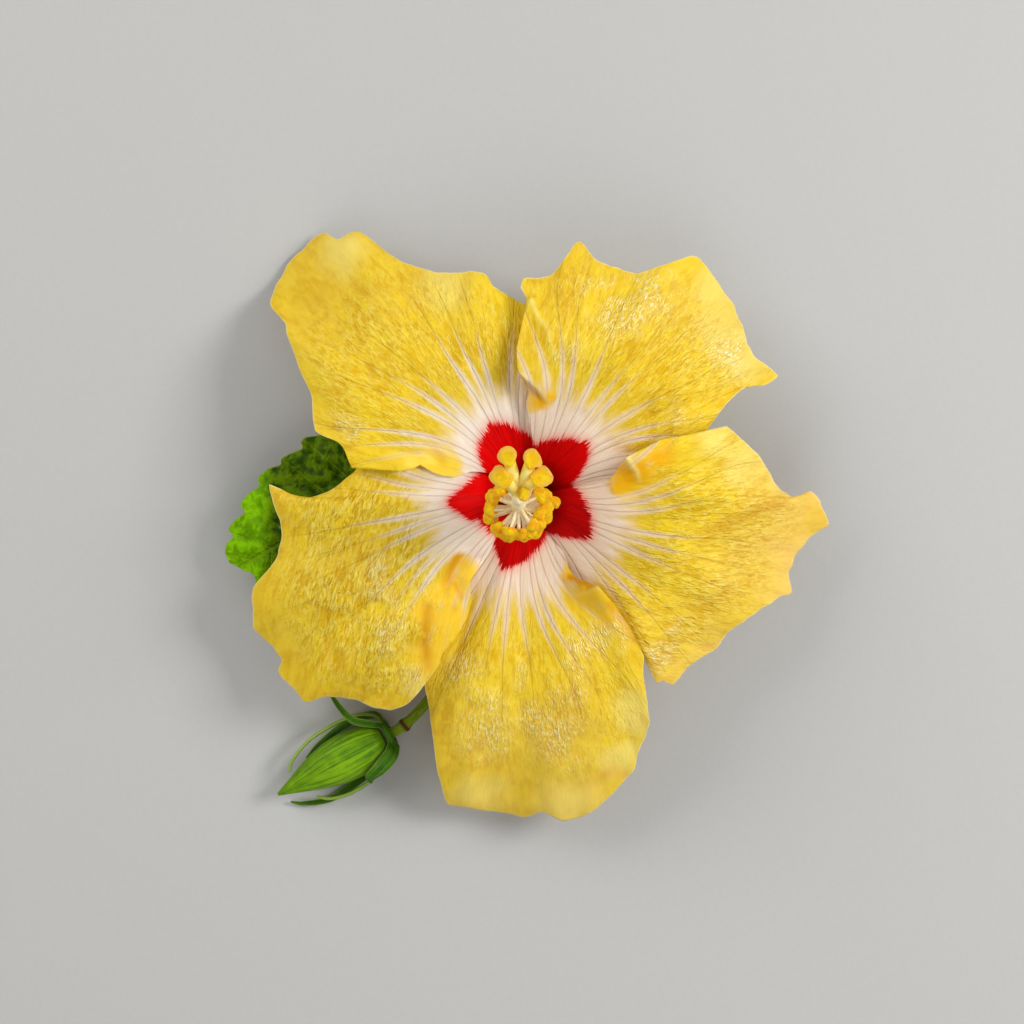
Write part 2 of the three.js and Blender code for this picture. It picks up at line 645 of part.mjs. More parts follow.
function budEpicalyx() {
  const ring = new THREE.TorusGeometry(3.1, 0.75, 6, 14);
  ring.lookAt(v3(BUD_LINE[1]).sub(v3(BUD_LINE[0])).setZ(0).normalize());
  ring.translate(...BUD_RING);
  const blades = BUD_BRACTS.map(({ path, across, width }) => bract(path, across, width));
  return fuse([ring, ...blades]);
}

// ---------- assembly ----------
const flower = new THREE.Group();

function addPart(name, geometry, color, roughness) {
  geometry.translate(FLOWER_AXIS[0], FLOWER_AXIS[1], 0);
  const material = new THREE.MeshStandardMaterial({ color, roughness, metalness: 0 });
  material.name = name;
  const mesh = new THREE.Mesh(geometry, material);
  mesh.name = name;
  flower.add(mesh);
}

for (const [name, geometry] of petalParts) addPart(name, geometry, 0xe9c83c, 0.4);
addPart("staminal_column", geometryFrom(columnPart), 0xf3d24a, 0.6);
addPart("pistil", geometryFrom(pistil()), 0xf0b81e, 0.6);
addPart("flower_calyx", geometryFrom(calyx()), 0x7da028, 0.55);
addPart("flower_epicalyx", geometryFrom(epicalyx()), 0x3f7d24, 0.55);
addPart("stem", geometryFrom(stem()), 0x5f7a24, 0.6);
addPart("leaf", geometryFrom(leaf()), 0x3f7d1c, 0.45);
addPart("bud_calyx", bud(), 0x7fa81e, 0.5);
addPart("bud_epicalyx", geometryFrom(budEpicalyx()), 0x1f6a24, 0.5);

export default flower;
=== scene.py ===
"""Hibiscus flower on a short picked twig, with one leaf and one bud, lying face up.

Places and lengths are millimetres, and places count from the flower's axis. Meshes are in metres.
"""
import math

import bpy
import numpy as np
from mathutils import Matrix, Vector, noise


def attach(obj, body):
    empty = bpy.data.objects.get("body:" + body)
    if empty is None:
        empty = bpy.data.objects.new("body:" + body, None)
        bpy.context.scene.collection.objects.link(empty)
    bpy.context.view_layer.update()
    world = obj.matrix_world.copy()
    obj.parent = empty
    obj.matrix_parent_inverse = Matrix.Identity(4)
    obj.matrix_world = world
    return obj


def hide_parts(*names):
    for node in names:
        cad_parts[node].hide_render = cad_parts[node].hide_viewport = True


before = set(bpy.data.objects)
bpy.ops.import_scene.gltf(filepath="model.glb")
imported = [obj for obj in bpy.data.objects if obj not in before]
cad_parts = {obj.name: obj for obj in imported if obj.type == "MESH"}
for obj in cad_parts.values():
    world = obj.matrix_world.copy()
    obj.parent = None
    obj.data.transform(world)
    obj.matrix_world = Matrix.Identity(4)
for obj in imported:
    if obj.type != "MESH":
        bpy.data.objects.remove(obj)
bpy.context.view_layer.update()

bl_info = {
    "name": "Hibiscus Sprig",
    "version": (1, 0, 0),
    "blender": (4, 5, 0),
    "location": "3D View > Sidebar > Hibiscus",
    "description": "Petals, stamens, leaf and bud of a hibiscus flower",
    "category": "Object",
}

MM = 0.001
FLOWER_AXIS = (0.0, 7.0)  # where the flower's axis stands
OUTLINE_CURVE = 0.6  # how outlines run between their points: 0 is straight, 1 is smoothly curved
MERGE_DISTANCE = 0.005 * MM

OVERLAP_LIFT = (0.65, 2.1)  # half the step between lapping petals, at the claw and outside
PETAL_THICKNESS = 0.7  # of the solids, which leave this room for a petal
PETAL_GRID = (190, 160)  # faces across and along a petal
THIN_EDGE = 0.35  # thickness of a petal's rim, as a share of the rest
VEIN_STEP = 5.8  # degrees from vein to vein at the eye
VEIN_SWAY = (0.26, 2.1)  # how unevenly the veins stand: size and rhythm
DROOP_REACH = 42
DROOP_POWER = 1.8

# The petals' common funnel: distance along the petal, radius, height.
FUNNEL = np.array([
    (0, 4.6, 9), (4, 4.9, 13), (8.2, 6.1, 17), (12.8, 8.8, 20.7), (17.8, 12.6, 24),
    (23.5, 17.5, 26.9), (29.9, 23.5, 29.2), (36.6, 30, 30.8), (42.6, 36, 31.5),
], float)
LIMB_START, LIMB_RADIUS = FUNNEL[-1, 0], FUNNEL[-1, 1]  # the flat limb begins here

# margin, lower and upper edges, droop, curl and frill follow those of the solids closely.
# Margins are (x, y). Edges are (radius, bearing). droop is how far the limb sinks, curl is the side
# lobe as (radius, height, reach), and frill is the rim's waves as (depth, number, start).
# eye: the red blotch's reach, as (bearing, radius). blush: strength of the peach tint.
# fan: bearing of the straight vein, and how much further the others spread outwards.
# folds: ridges as (line, height, width to its left, width to its right), highest where the line
# starts; a highlight is painted along their sharp crests. creases: painted shade, orange-brown
# along the folds and shadow under the flaps, as (line, width, strength). Patches are
# (x, y, radius): warm is smooth deeper, more orange yellow on the folded lobes and flaps, partly
# their own tint and partly painted shade of their turned faces, and its depth; pale is light
# yellow, and on petal_1's drooping outer limb it is painted light; gloss is where it glints, with
# real gloss and with glints painted in as pale flecks.
# lean: turn of the wrinkles from the petal's middle line, how far they keep to it, and where
# across the petal (from -1 to 1) the turn begins. rough: how strong they are, in the relief and
# in their painted shade and highlights.
# halo: lightness of the pale ring and of the red eye, lower on the petals whose funnel walls face
# away from the key light (painted shade).
PETALS = [
    {
        "name": "petal_1",
        "margin": [
            (7, 38.5), (3, 42), (-0.5, 44.5), (-8, 48.5), (-10, 51.5), (-14.5, 52.3),
            (-18.5, 52.5), (-24, 54), (-30, 56), (-35.5, 59.5), (-40.3, 62.7), (-44.5, 60.6),
            (-49.3, 63.1), (-53, 61.2), (-57.2, 57.5), (-60.8, 51.2), (-60.7, 45), (-56.2, 39.8),
            (-55, 36.5), (-53.5, 32.5), (-52, 28), (-50, 23.5), (-49.5, 19), (-48.5, 14.5),
            (-42.5, 11.5), (-40, 6),
        ],
        "lower": [(4.6, 74), (13.5, 78), (22, 80), (29, 82), (39, 79.7)],
        "upper": [(4.6, 150), (11, 151), (14.6, 157.5), (16.5, 163), (18, 166.7), (20.6, 167.7),
                  (23, 167), (26.2, 164.7), (27.6, 167.5), (30.4, 170), (40.4, 171.5)],
        "droop": 27, "curl": (20.5, -0.3, 5), "frill": (1.2, 3.5, 0.4),
        "eye": [(74, 10.5), (83, 12.5), (117, 18.6), (140, 15.8), (151, 12), (165, 11)],
        "blush": 0.15, "halo": 0.85, "lean": (0, 0, -2), "rough": 0.6,
        "fan": (114, 0.55),
        "folds": [
            ([(-28, 6.2), (-21, 7), (-15.2, 5.2)], 0.3, 2.0, 2.6),
            ([(-30, 6.5), (-28.5, 10), (-24, 13)], 0.5, 1.5, 3.5),
            ([(-41, 60), (-36, 50), (-27, 36)], 0.8, 6, 7),
            ([(-12, 50), (-14, 40), (-13, 30)], 0.8, 4, 4),
        ],
        "painted_shade_lines": [([(-20.3, 8), (-21.4, 10.5), (-23, 14)], 1.3, 0.4)],
        "warm": ([(-20.5, 6.3, 5.4), (-27, 7.4, 4.4)], 0.15),
        "pale": [(-44, 58, 6), (-20, 50, 6)], "gloss": [(-40, 14, 2)],
    },
    {
        "name": "petal_2",
        "margin": [
            (38.5, 7), (41, 11.5), (42, 15.5), (46, 21), (52, 26), (57, 26.4), (60.3, 28.7),
            (54, 31.5), (50.8, 34.8), (50, 39.8), (48.6, 45.3), (45.1, 50.7), (39.5, 55.2), (35, 54),
            (30.5, 52.2), (25, 51.3), (20, 52.6), (15.5, 54), (11.4, 57), (8.5, 53.5), (6, 50.3),
            (2.5, 49.2), (-1, 49.2), (-1.7, 47),
        ],
        "lower": [(4.6, 2), (10, 2), (21, 4), (27, 8), (33, 11), (39.1, 10.3)],
        "upper": [(4.6, 80), (13.5, 85), (17.4, 89), (22, 91), (24, 89), (26, 91), (29.3, 94.6),
                  (34, 94), (37.5, 92), (42.5, 90), (44.5, 90), (48, 92)],
        "droop": 21, "curl": (28, 2.4, 4), "frill": (1.5, 4, 2.2),
        "eye": [(0, 10), (15.6, 10.8), (25, 14), (37.7, 18.2), (48.8, 17.2), (79.5, 12.8),
                (95, 12)],
        "blush": 0.25, "halo": 0.5, "lean": (0, 0, -2), "rough": 0.65,
        "fan": (54, 0.65),
        "folds": [
            ([(-1.8, 28.6), (2.5, 25), (4.6, 21.5)], 1.5, 4.5, 0.7),
            ([(0.7, 43.6), (-1.3, 40.3), (-2.6, 36.9), (-3.1, 32.7), (-2.6, 29)], 1.2, 2.2, 1.5),
            ([(0.7, 43.6), (2.4, 39.9), (4.2, 37.8), (5.1, 34.8), (5.9, 31.1)], 1.4, 2.2, 2.4),
            ([(11.5, 56), (12.5, 46), (12, 36), (11, 28)], 0.9, 3.4, 2.6),
            ([(30, 52), (25, 42), (19, 31)], 0.7, 4, 4),
        ],
        "painted_shade_lines": [
            ([(-2, 28.2), (0.8, 25.2), (2.4, 23.4), (3.3, 21.8), (4.1, 20.2)], 0.5, 1.0),
            ([(-2.4, 28.9), (1.3, 28.6)], 0.35, 0.6),
            ([(3, 22), (3.8, 20)], 1.1, 0.5),
            ([(20.5, 10.4), (23.8, 9.9)], 1.2, 0.8),
        ],
        "warm": ([(1.0, 22.3, 3.0), (3.4, 24.6, 1.8)], 0.7),
        "pale": [(52, 31, 5), (47, 40, 8), (44, 48, 5)],
        "gloss": [(28, 47.5, 5), (17, 46, 4), (36.6, 18.9, 3), (46, 33, 5), (21, 42, 6), (9, 33, 3)],
    },
    {
        "name": "petal_3",
        "margin": [
            (19, -35.5), (23.5, -35.8), (26.5, -37), (27.5, -39), (29.8, -43.6), (31.3, -43.1),
            (34.2, -44.9), (37.4, -42.4), (41, -39.6), (45.5, -37), (47.5, -32), (53.5, -27), (59, -24),
            (62.8, -23.2), (62.3, -18.5), (63.3, -14.5), (66, -10), (70, -6.7), (67.6, -2.5),
            (65.2, 0.9), (61.8, -0.9), (57.5, 2.5), (55, 6), (51.5, 9.5), (48, 12.5), (44.5, 15.4),
        ],
        "lower": [(4.6, -70), (10, -71), (16, -69), (22, -68), (28, -64), (40.3, -61.8)],
        "upper": [(4.6, 8), (9.5, 9.5), (15, 11), (20.5, 11.5), (23, 16.5), (26, 21),
                  (33, 22.5), (39.7, 20.2), (47.1, 19.1)],
        "droop": 31, "curl": (26.5, 3.4, 5), "frill": (1.3, 3.5, 1),
        "eye": [(-72, 9), (-64, 9.4), (-50, 12.5), (-34.7, 17.6), (-11.8, 14.8), (9, 11.8),
                (22, 10)],
        "blush": 1.0, "halo": 0.3, "lean": (40, 0.45, -2), "rough": 0.7,
        "fan": (-37, 0.55),
        "folds": [
            ([(24.2, 9.1), (25.8, 5.7), (26.2, 2.5)], 2.8, 4.6, 3.2),
            ([(22, 8), (20.6, 5.5), (20, 2.5), (20.6, 0.4)], 1.3, 3.6, 0.6),
            ([(33, 10.5), (31.1, 6.7), (30.7, 4.2)], 0.7, 3, 1.2),
            ([(44, 14), (38, 9), (33, 2)], 0.8, 4, 4),
            ([(30, -43), (27.5, -34), (22, -25)], 1.0, 5, 4),
            ([(60, -0.5), (51, -1.6), (42, -6), (34, -9)], 0.9, 5, 1.6),
        ],
        "painted_shade_lines": [
            ([(19, 6), (18.8, 2.8)], 1.2, 0.9), ([(26, 7.6), (28, 4)], 0.9, 0.25),
            ([(58, -1.5), (51, -3.4), (43, -7.6), (36, -10)], 1.5, 0.4),
        ],
        "warm": ([(22.8, 4.4, 4.4), (27.3, 5.6, 3.4), (31, 9.5, 3.4)], 1.0),
        "pale": [(42, 13, 4), (50, 8, 6), (58, 2, 4)], "gloss": [(31.5, -37, 3), (34, -32, 3)],
    },
    {
        "name": "petal_4",
        "margin": [
            (-27.5, -37), (-26, -41), (-24.7, -44.7), (-24, -49), (-23, -55), (-22, -61),
            (-20.5, -68.5), (-19, -74), (-14.5, -74.5), (-9.5, -76.8), (-5, -77), (-1, -77.4),
            (3.8, -74.6), (9.3, -75.8), (12.5, -75), (16.5, -72.6), (22.5, -67.5), (25.2, -64),
            (25.7, -60.5), (27.2, -55.5), (27.6, -52), (27.1, -48.5), (26, -40.5), (26.3, -36.7),
        ],
        "lower": [(4.6, 218), (13, 226), (25, 229), (38, 233), (46, 233.4)],
        "upper": [(4.6, 294), (9.5, 295), (16, 302), (20, 299), (22.5, 299.5), (27.5, 307.2),
                  (32, 308), (37.7, 307.5), (45.1, 305.6)],
        "droop": 22, "curl": (27.5, 3, 5), "frill": (1.3, 3, 3.4),
        "eye": [(220, 11), (233, 12.8), (243, 15.3), (251.3, 18.2), (270, 15.2), (296.6, 10.6),
                (308, 9)],
        "blush": 0.3, "halo": 0.35, "lean": (0, 0, -2), "rough": 0.42,
        "fan": (247, 0.5),
        "folds": [
            ([(16.9, -22.2), (14.2, -23.4), (10, -23.8)], 1.25, 4.5, 1.4),
            ([(9.8, -15.2), (11.6, -18)], 0.5, 1.8, 1.8),
            ([(17.2, -22.6), (19.5, -27), (23, -33)], 0.8, 1.5, 3.5),
            ([(-14, -75), (-13, -58), (-9, -42)], 1.0, 5, 5),
            ([(8, -78), (5, -60), (2, -44)], 0.8, 5, 5),
        ],
        "painted_shade_lines": [
            ([(10.2, -19.8), (13.2, -21.2), (15.9, -21.7)], 0.95, 1.0),
            ([(6.5, -20.2), (10, -20.8)], 1.2, 0.5),
            ([(19, -25.5), (21, -28.5), (25, -33), (26.5, -36)], 1.0, 0.6),
            ([(23.5, -66), (19.5, -64.2), (14, -66)], 1.7, 0.4),
        ],
        "warm": ([(11, -17.5, 3.3), (13.5, -23, 4.4), (18, -27, 3.6)], 0.6),
        "pale": [(25, -50, 5), (10, -72, 7), (-12, -72, 6), (22, -62, 5)],
        "gloss": [(-10.5, -48, 4), (-9.5, -56, 6), (2, -53, 5), (8.5, -56, 6), (-1.4, -41.8, 2.6),
                  (18, -32, 4.5), (9, -43, 5), (10.6, -35, 3), (-15, -40, 3)],
    },
    {
        "name": "petal_5",
        "margin": [
            (-36, 11.5), (-38.5, 8.5), (-40, 5.7), (-47, 1), (-53.5, -1), (-60.5, 2.5), (-59, -3),
            (-58.5, -8.5), (-59.5, -14), (-61.8, -18.3), (-64.2, -21.6), (-63.6, -26.6),
            (-64.3, -31.3), (-61.4, -35), (-57.8, -38.6), (-59, -42), (-54.2, -44.8),
            (-50.8, -47.5), (-46.5, -46), (-40, -47.3), (-36, -48.6), (-31.5, -49.2), (-27.5, -47.6),
            (-24.8, -44.8),
        ],
        "lower": [(4.6, 144), (11, 142), (16, 150), (23, 156), (30, 161), (37.8, 162.3)],
        "upper": [(4.6, 224), (13, 233), (17, 236.5), (25, 236), (26.5, 239), (28.5, 242.3),
                  (32, 243.6), (37.5, 243), (41, 241.5), (43.5, 242.3), (51.2, 241)],
        "droop": 24, "curl": (22, 2.6, 6), "frill": (1.5, 4, 5),
        "eye": [(142, 11), (148.6, 11.1), (174.9, 15.6), (185.6, 18.9), (208.3, 13.8),
                (232.3, 12.9), (245, 12)],
        "blush": 0.1, "halo": 0.8, "lean": (57, 0.85, -2), "rough": 1.0,
        "fan": (188, 0.4),
        "folds": [
            ([(-13.2, -16.2), (-14.6, -19.5), (-14.2, -22.8)], 1.0, 2.5, 2.8),
            ([(-17.4, -23.5), (-18.8, -27), (-19.2, -31)], 0.8, 3, 2.5),
            ([(-36, -49), (-32.5, -38), (-28, -27)], 1.0, 4, 4),
            ([(-59, -38), (-47, -27), (-35, -18)], 0.9, 5, 5),
            ([(-31, 6), (-21, 5.2), (-9, 2.5)], 2.3, 4.5, 4),
        ],
        "painted_shade_lines": [
            ([(-16.3, -14.2), (-17.9, -17.1), (-18.4, -19.7), (-18.9, -22.9)], 1.4, 0.85),
            ([(-17.1, -21), (-15.8, -23.7), (-13.9, -24.7)], 0.9, 0.6),
            ([(-17, -25), (-16.9, -27.5)], 0.6, 0.4),
            ([(-23.1, -25.8), (-23.3, -34.3), (-22.3, -42)], 1.3, 0.75),
        ],
        "warm": ([(-14.6, -19.5, 4), (-17.5, -22.5, 4.4), (-18.5, -29, 5.5),
                  (-22.5, -27, 4.5), (-22, -36, 4.5)], 0.5),
        "pale": [(-25, -44, 3)],
        "gloss": [(-32, -32, 3), (-34.6, -16.8, 3), (-27.3, -39.2, 4), (-34, -23.4, 3)],
    },
]

# The column and the pistil.
COLUMN_LINE = [(0, 0, 8.7), (0, 0, 13), (0.1, -0.6, 22), (-0.7, -2.1, 36), (-1.9, -3.1, 50),
               (-2.3, -2.4, 60), (-2.1, 0.2, 67)]
TUBE_END = (-2.15, -0.6, 65.4)
TUBE_RADII = [(0, 3.3), (4, 3.2), (7.5, 2.1), (12, 1.8), (57, 1.5), (58.2, 1.2)]
STAMENS = 46
STAMEN_SPAN = (27, 52)  # where along the column they stand
STAMEN_SEED = 7
STAMEN_REACH = 5.6
CREAM_FILAMENT = 50  # where on the tube the filaments take their colour from
STYLE_RADII = [(0, 2.2), (2.6, 2.1), (5.6, 0.5), (60, 0.5)]
BRANCH_RADII = [(0, 1.1), (2, 1.55), (4, 1.45), (5.6, 1.15), (7.4, 1.3), (12, 1.35)]
# Each stigma pad's place, its half sizes outwards, sideways and upwards, how square it is, how far
# its right end hooks down, and how thick its branch is.
STIGMA = [
    ((-4.6, 7.7, 73.2), (2.3, 2.2, 1.2), 0, 0, 1),
    ((0.6, 7.3, 73.4), (2.3, 2.15, 1.2), 0, 1.0, 1),
    ((-6, 3.4, 72.8), (2.45, 2.1, 1.1), 0.8, 0.2, 1),
    ((2.6, 3.5, 72.8), (2.35, 2.1, 1.1), 0.7, 0.3, 1),
    ((-1, -0.2, 71.6), (1.15, 1.55, 1.0), 1, 0, 0.8),
]

# The stem: each bar's line, and where its knuckles are.
TWIG_LINE = [(31, -10, 1.7), (19, -12, 1.7), (7, -15, 1.7), (-3, -20, 1.7), (-13, -24, 1.7),
             (-19, -26, 1.9), (-24.5, -27, 3)]
TWIG_KNUCKLES = (24.6, 47)
FLOWER_PEDICEL = [(7, -15, 1.9), (4.4, -9, 2.3), (1.4, -3.2, 3), (0.1, -0.4, 4.9), (0, 0, 7.2)]
FLOWER_JOINT = (6.5,)
BUD_PEDICEL = [(-13, -24, 2), (-16, -36, 5), (-22.5, -47.5, 6.6), (-29.3, -55, 6.2),
               (-33.9, -57.7, 5.9)]
BUD_JOINT = (36.5,)

# The leaf: the outlines are (along, out from the midrib).
LEAF_BASE = (-30, 5, 15.5)
LEAF_TIP = (-70, -18, 9)
PETIOLE = [(-13.6, -20.6, 3.2), (-20, -14, 5.5), (-26.5, -4, 11), (-29.6, 3.8, 15.2),
           (-33, 2.3, 15.6)]
LEAF_LEFT = [
    (-1.5, 5.5), (1.5, 11), (6, 15), (12.3, 17.7), (15.4, 18.9), (16.9, 18.5), (17.4, 16.9),
    (20.6, 17.3), (23, 17.4), (23.8, 16.2), (26.6, 16.8), (29.5, 16.5), (30.4, 15.8),
    (30.7, 14.3), (33.8, 14.2), (37, 12.9), (36.9, 10.7), (40, 10.3), (42.5, 9.1), (42.2, 7.1),
    (44.5, 6.4), (45.9, 4.9), (46.2, 3.4), (46.1, 2.2),
]
LEAF_RIGHT = [
    (-1.8, 5), (1, 10.5), (5.5, 14.5), (11.5, 17), (14.6, 18.1), (16.2, 17.8), (16.8, 16.3),
    (20, 16.8), (22.4, 16.7), (23.1, 15.4), (26, 15.9), (28.8, 15.4), (29.8, 14.6),
    (29.9, 13.3), (33, 12.9), (35.8, 11.6), (35.9, 9.7), (38.8, 9.2), (41, 8), (40.9, 6.4),
    (42.8, 5.4), (42.4, 3.4), (43, 2), (44, 1.4),
]
LEAF_SIDE_VEINS = (1.6, 4.6, 8, 11.6, 15, 18.2, 21.2)  # which outline points they run to
LEAF_POINT_STEP = 1.9  # along the midrib, from the foot of one outline point's line to the next

# The bud, and the cup and bracts of the flower. Each bract of the bud is its line, the way that its
# width runs, and its width.
GREEN_WALL = 0.6
BRACT_WALL = 0.7
BLUNT = 5  # a rim number that is far from any edge
CUP_GAP = 0.5  # between the cup and the petals' claws
CUP_ROOT, CUP_NOTCH, CUP_TOOTH = -0.4, 13, 14  # where its wall starts and its notches are; its teeth
CUP_TURN = 8  # degrees
BRACTS = 7
BRACT_TURN = 20  # degrees
BRACT_PATH = [(6.8, 7), (8.6, 8.2), (10.6, 11.5), (13.6, 15.6), (17.6, 17.6)]  # radius, height
BUD_LINE = [(-34.6, -58.2, 5.6), (-47.3, -65, 5.4), (-60, -71.9, 5.8)]
BUD_RADII = [(0, 2.4), (1.5, 4), (5, 5.3), (9, 5.7), (14, 5.3), (20, 3.7), (25.5, 1.6),
             (28.8, 0.35)]
BUD_RING = (-33.2, -57.3, 5.95)
BUD_BRACTS = [
    ([(-34.6, -55, 7.3), (-37.6, -54.6, 9), (-41.7, -53.6, 10), (-45, -50.3, 10),
      (-47.3, -46.8, 9.5)], (0.5, 0.85, 0), 1.6),
    ([(-34.6, -54.7, 5.9), (-37.2, -52.8, 5.5), (-42.5, -53.2, 5), (-51.5, -58, 5),
      (-56.5, -63.5, 5.5), (-57.2, -66.4, 6)], (0, 0, 1), 2.2),
    ([(-31.8, -59.9, 5.9), (-32.8, -63, 5.5), (-36.6, -67.6, 4.5), (-42, -71.4, 4),
      (-47.2, -73, 4), (-50.8, -72.6, 4.2)], (0, 0, 1), 2.2),
    ([(-32.3, -59.1, 3.9), (-33.3, -62.5, 1.8), (-40, -68.6, 0.9), (-47.5, -73.4, 0.9),
      (-54, -74.6, 0.9), (-57.3, -74.2, 1)], (-0.5, 0.85, 0), 1.8),
    ([(-32, -59.6, 7.3), (-32.8, -62.3, 9.4), (-35.4, -65.3, 10), (-37.6, -67.3, 8.4),
      (-37.5, -68.8, 6.6)], (-0.85, 0.5, 0.1), 3.4),
    ([(-34.3, -55.2, 4), (-36.8, -53, 2), (-43, -54.8, 1), (-49.5, -59.5, 0.9),
      (-53.5, -63.6, 0.9)], (0, 1, 0), 1.8),
]

# The stage, in metres: each light's place, its share of the key light's power, and its size.
LIGHTS = {
    "key_light": ((0.62, 0.17, 0.58), 1, 0.3),
    "side_light": ((-0.6, 0.45, 0.55), 0.85, 0.6),
    "front_light": ((0.1, -0.6, 0.85), 0.5, 0.8),
}
LIT_POINT = (0, 0, 0.02)
SKY_STRENGTH = 0.30
FLOOR_SIZE, FLOOR_HEIGHT = 4, -0.0002
CAMERA_SHIFT = (-3.7, -4.0)  # mm from the flower's axis
LENS, SENSOR, NEAR_CLIP = 85, 36, 0.01


# ---------- numbers ----------
def smooth(a, b, x):
    """Goes evenly from 0 at a to 1 at b."""
    t = np.clip((np.asarray(x, float) - a) / (b - a), 0, 1)
    return t * t * (3 - 2 * t)


def bell(x, width):
    return np.exp(-((x / width) ** 2))


def mix(a, b, t):
    return a + (b - a) * t


def line(rows, x):
    """Broken line through rows (x, y), level beyond its ends."""
    table = np.array(rows, float)
    return np.interp(x, table[:, 0], table[:, 1])


def curve(rows, x, c):
    """Smooth curve through rows (x, y...), straight beyond its ends."""
    rows = np.asarray(rows, float)
    x = np.asarray(x, float)
    knots, values = rows[:, 0], rows[:, c]
    last = len(knots) - 1
    below = np.maximum(np.arange(last + 1) - 1, 0)
    above = np.minimum(np.arange(last + 1) + 1, last)
    slope = (values[above] - values[below]) / (knots[above] - knots[below])
    i = np.clip(np.searchsorted(knots, x) - 1, 0, last - 1)
    h = knots[i + 1] - knots[i]
    t = np.clip((x - knots[i]) / h, 0, 1)
    value = ((2 * t**3 - 3 * t**2 + 1) * values[i] + (t**3 - 2 * t**2 + t) * h * slope[i]
             + (3 * t**2 - 2 * t**3) * values[i + 1] + (t**3 - t**2) * h * slope[i + 1])
    value += np.minimum(x - knots[0], 0) * slope[0]
    return value + np.maximum(x - knots[last], 0) * slope[last]


def outline(knots, points, at):
    """x and y of an outline through points (x, y) that stand at these knots."""
    rows = np.column_stack([knots, np.array(points, float)])
    return [mix(np.interp(at, knots, rows[:, c]), curve(rows, at, c), OUTLINE_CURVE)
            for c in (1, 2)]


def repeatable(seed):
    """Repeatable random numbers from 0 to 1."""
    state = seed
    while True:
        state = (state * 1664525 + 1013904223) % 4294967296
        yield state / 4294967296


def spline(points, count):
    """`count` evenly spaced points on a smooth line through `points`, and its length."""
    points = np.asarray(points, float)
    columns = range(points.shape[1])
    steps = np.linalg.norm(np.diff(points, axis=0), axis=1) ** 0.5
    knots = np.concatenate([[0], np.cumsum(steps)])
    rows = np.column_stack([knots, points])
    fine = np.linspace(0, knots[-1], 400)
    dense = np.column_stack([curve(rows, fine, c + 1) for c in columns])
    run = np.concatenate([[0], np.cumsum(np.linalg.norm(np.diff(dense, axis=0), axis=1))])
    even = np.linspace(0, run[-1], count)
    return np.column_stack([np.interp(even, run, dense[:, c]) for c in columns]), run[-1]


def headings(points):
    """Unit vectors along a line of points."""
    ahead = np.gradient(points, axis=0)
    return ahead / np.linalg.norm(ahead, axis=1)[:, None]


def from_line(path, x, y):
    """Distance from a broken line, the side (1 is left) and the share of its length passed."""
    path = np.array(path, float)
    steps = np.diff(path, axis=0)
    lengths = np.hypot(*steps.T)
    near = np.full_like(x, 1e9)
    side, at, run = np.zeros_like(x), np.zeros_like(x), 0.0
    for start, step, length in zip(path, steps, lengths):
        dx, dy = x - start[0], y - start[1]
        share = np.clip((dx * step[0] + dy * step[1]) / length**2, 0, 1)
        away = np.hypot(dx - share * step[0], dy - share * step[1])
        closer = away < near
        near = np.where(closer, away, near)
        side = np.where(closer, np.sign(step[0] * dy - step[1] * dx), side)
        at = np.where(closer, (run + share * length) / lengths.sum(), at)
        run += length
    return near, side, at


def fold_relief(folds, x, y):
    """Height of a petal's folds at each (x, y), and a highlight painted along their sharp crests."""
    lift, crest = np.zeros_like(x), np.zeros_like(x)
    for path, height, left, right in folds:
        near, side, at = from_line(path, x, y)
        full = height * (1 - at) ** 0.6
        inside = np.clip(1 - near / np.where(side > 0, left, right), 0, 1)
        sharp = smooth(1.05, 1.4, height) * (min(left, right) < 3.5)
        lift += full * mix(smooth(0, 1, inside), inside**1.5, sharp)
        crest += full * bell(near, 0.5) * sharp
    return lift, np.clip(crest / 1.5, 0, 1)


def crease_shade(painted_shade_lines, x, y):
    """Strength of the painted shade along a petal's folds and under its flaps at each (x, y)."""
    shade = np.zeros_like(x)
    for path, width, strength in painted_shade_lines:
        near, _, at = from_line(path, x, y)
        shade = np.maximum(shade, strength * bell(near, width) * smooth(1.15, 0.6, at))
    return shade


def ripples(points, size, seed=0.0):
    """Soft random relief from -1 to 1 at each point, `size` mm from crest to crest."""
    return np.array([noise.noise(Vector((x / size, y / size, z / size + seed)))
                     for x, y, z in points])


def patches(spots, x, y):
    """1 inside the uneven patches, fading to 0 outside."""
    shade = np.zeros_like(x)
    flat = np.column_stack([x, y, x * 0])
    x, y = x + 3.2 * ripples(flat, 6.5, 3), y + 3.2 * ripples(flat, 6.5, 8)
    for px, py, size in spots:
        shade = np.maximum(shade, smooth(1.6, 0.25, np.hypot(x - px, y - py) / size))
    return shade


# ---------- meshes ----------
def deselect():
    if bpy.context.object and bpy.context.object.mode != "OBJECT":
        bpy.ops.object.mode_set(mode="OBJECT")
    bpy.ops.object.select_all(action="DESELECT")


def activate(piece):
    deselect()
    piece.select_set(True)
    bpy.context.view_layer.objects.active = piece


def points_of(piece):
    """A mesh's vertices as they are, in metres or in a primitive's own units."""
    points = np.empty(len(piece.data.vertices) * 3, np.float32)
    piece.data.vertices.foreach_get("co", points)
    return points.reshape(-1, 3).astype(float)


def reshape(piece, points):
    piece.data.vertices.foreach_set("co", np.asarray(points, np.float32).ravel())
    piece.data.update()


def place(piece, points):
    """Moves a mesh's vertices to points in mm from the flower's axis."""
    reshape(piece, (np.asarray(points, float) + (*FLOWER_AXIS, 0)) * MM)


def mark(piece, **numbers):
    """Keeps numbers for each vertex, or one for all of them, for the finish to read."""
    layers = piece.data.attributes
    for name, values in numbers.items():
        layer = layers.get(name) or layers.new(name, "FLOAT", "POINT")
        layer.data.foreach_set("value", np.full(len(piece.data.vertices), values, np.float32))


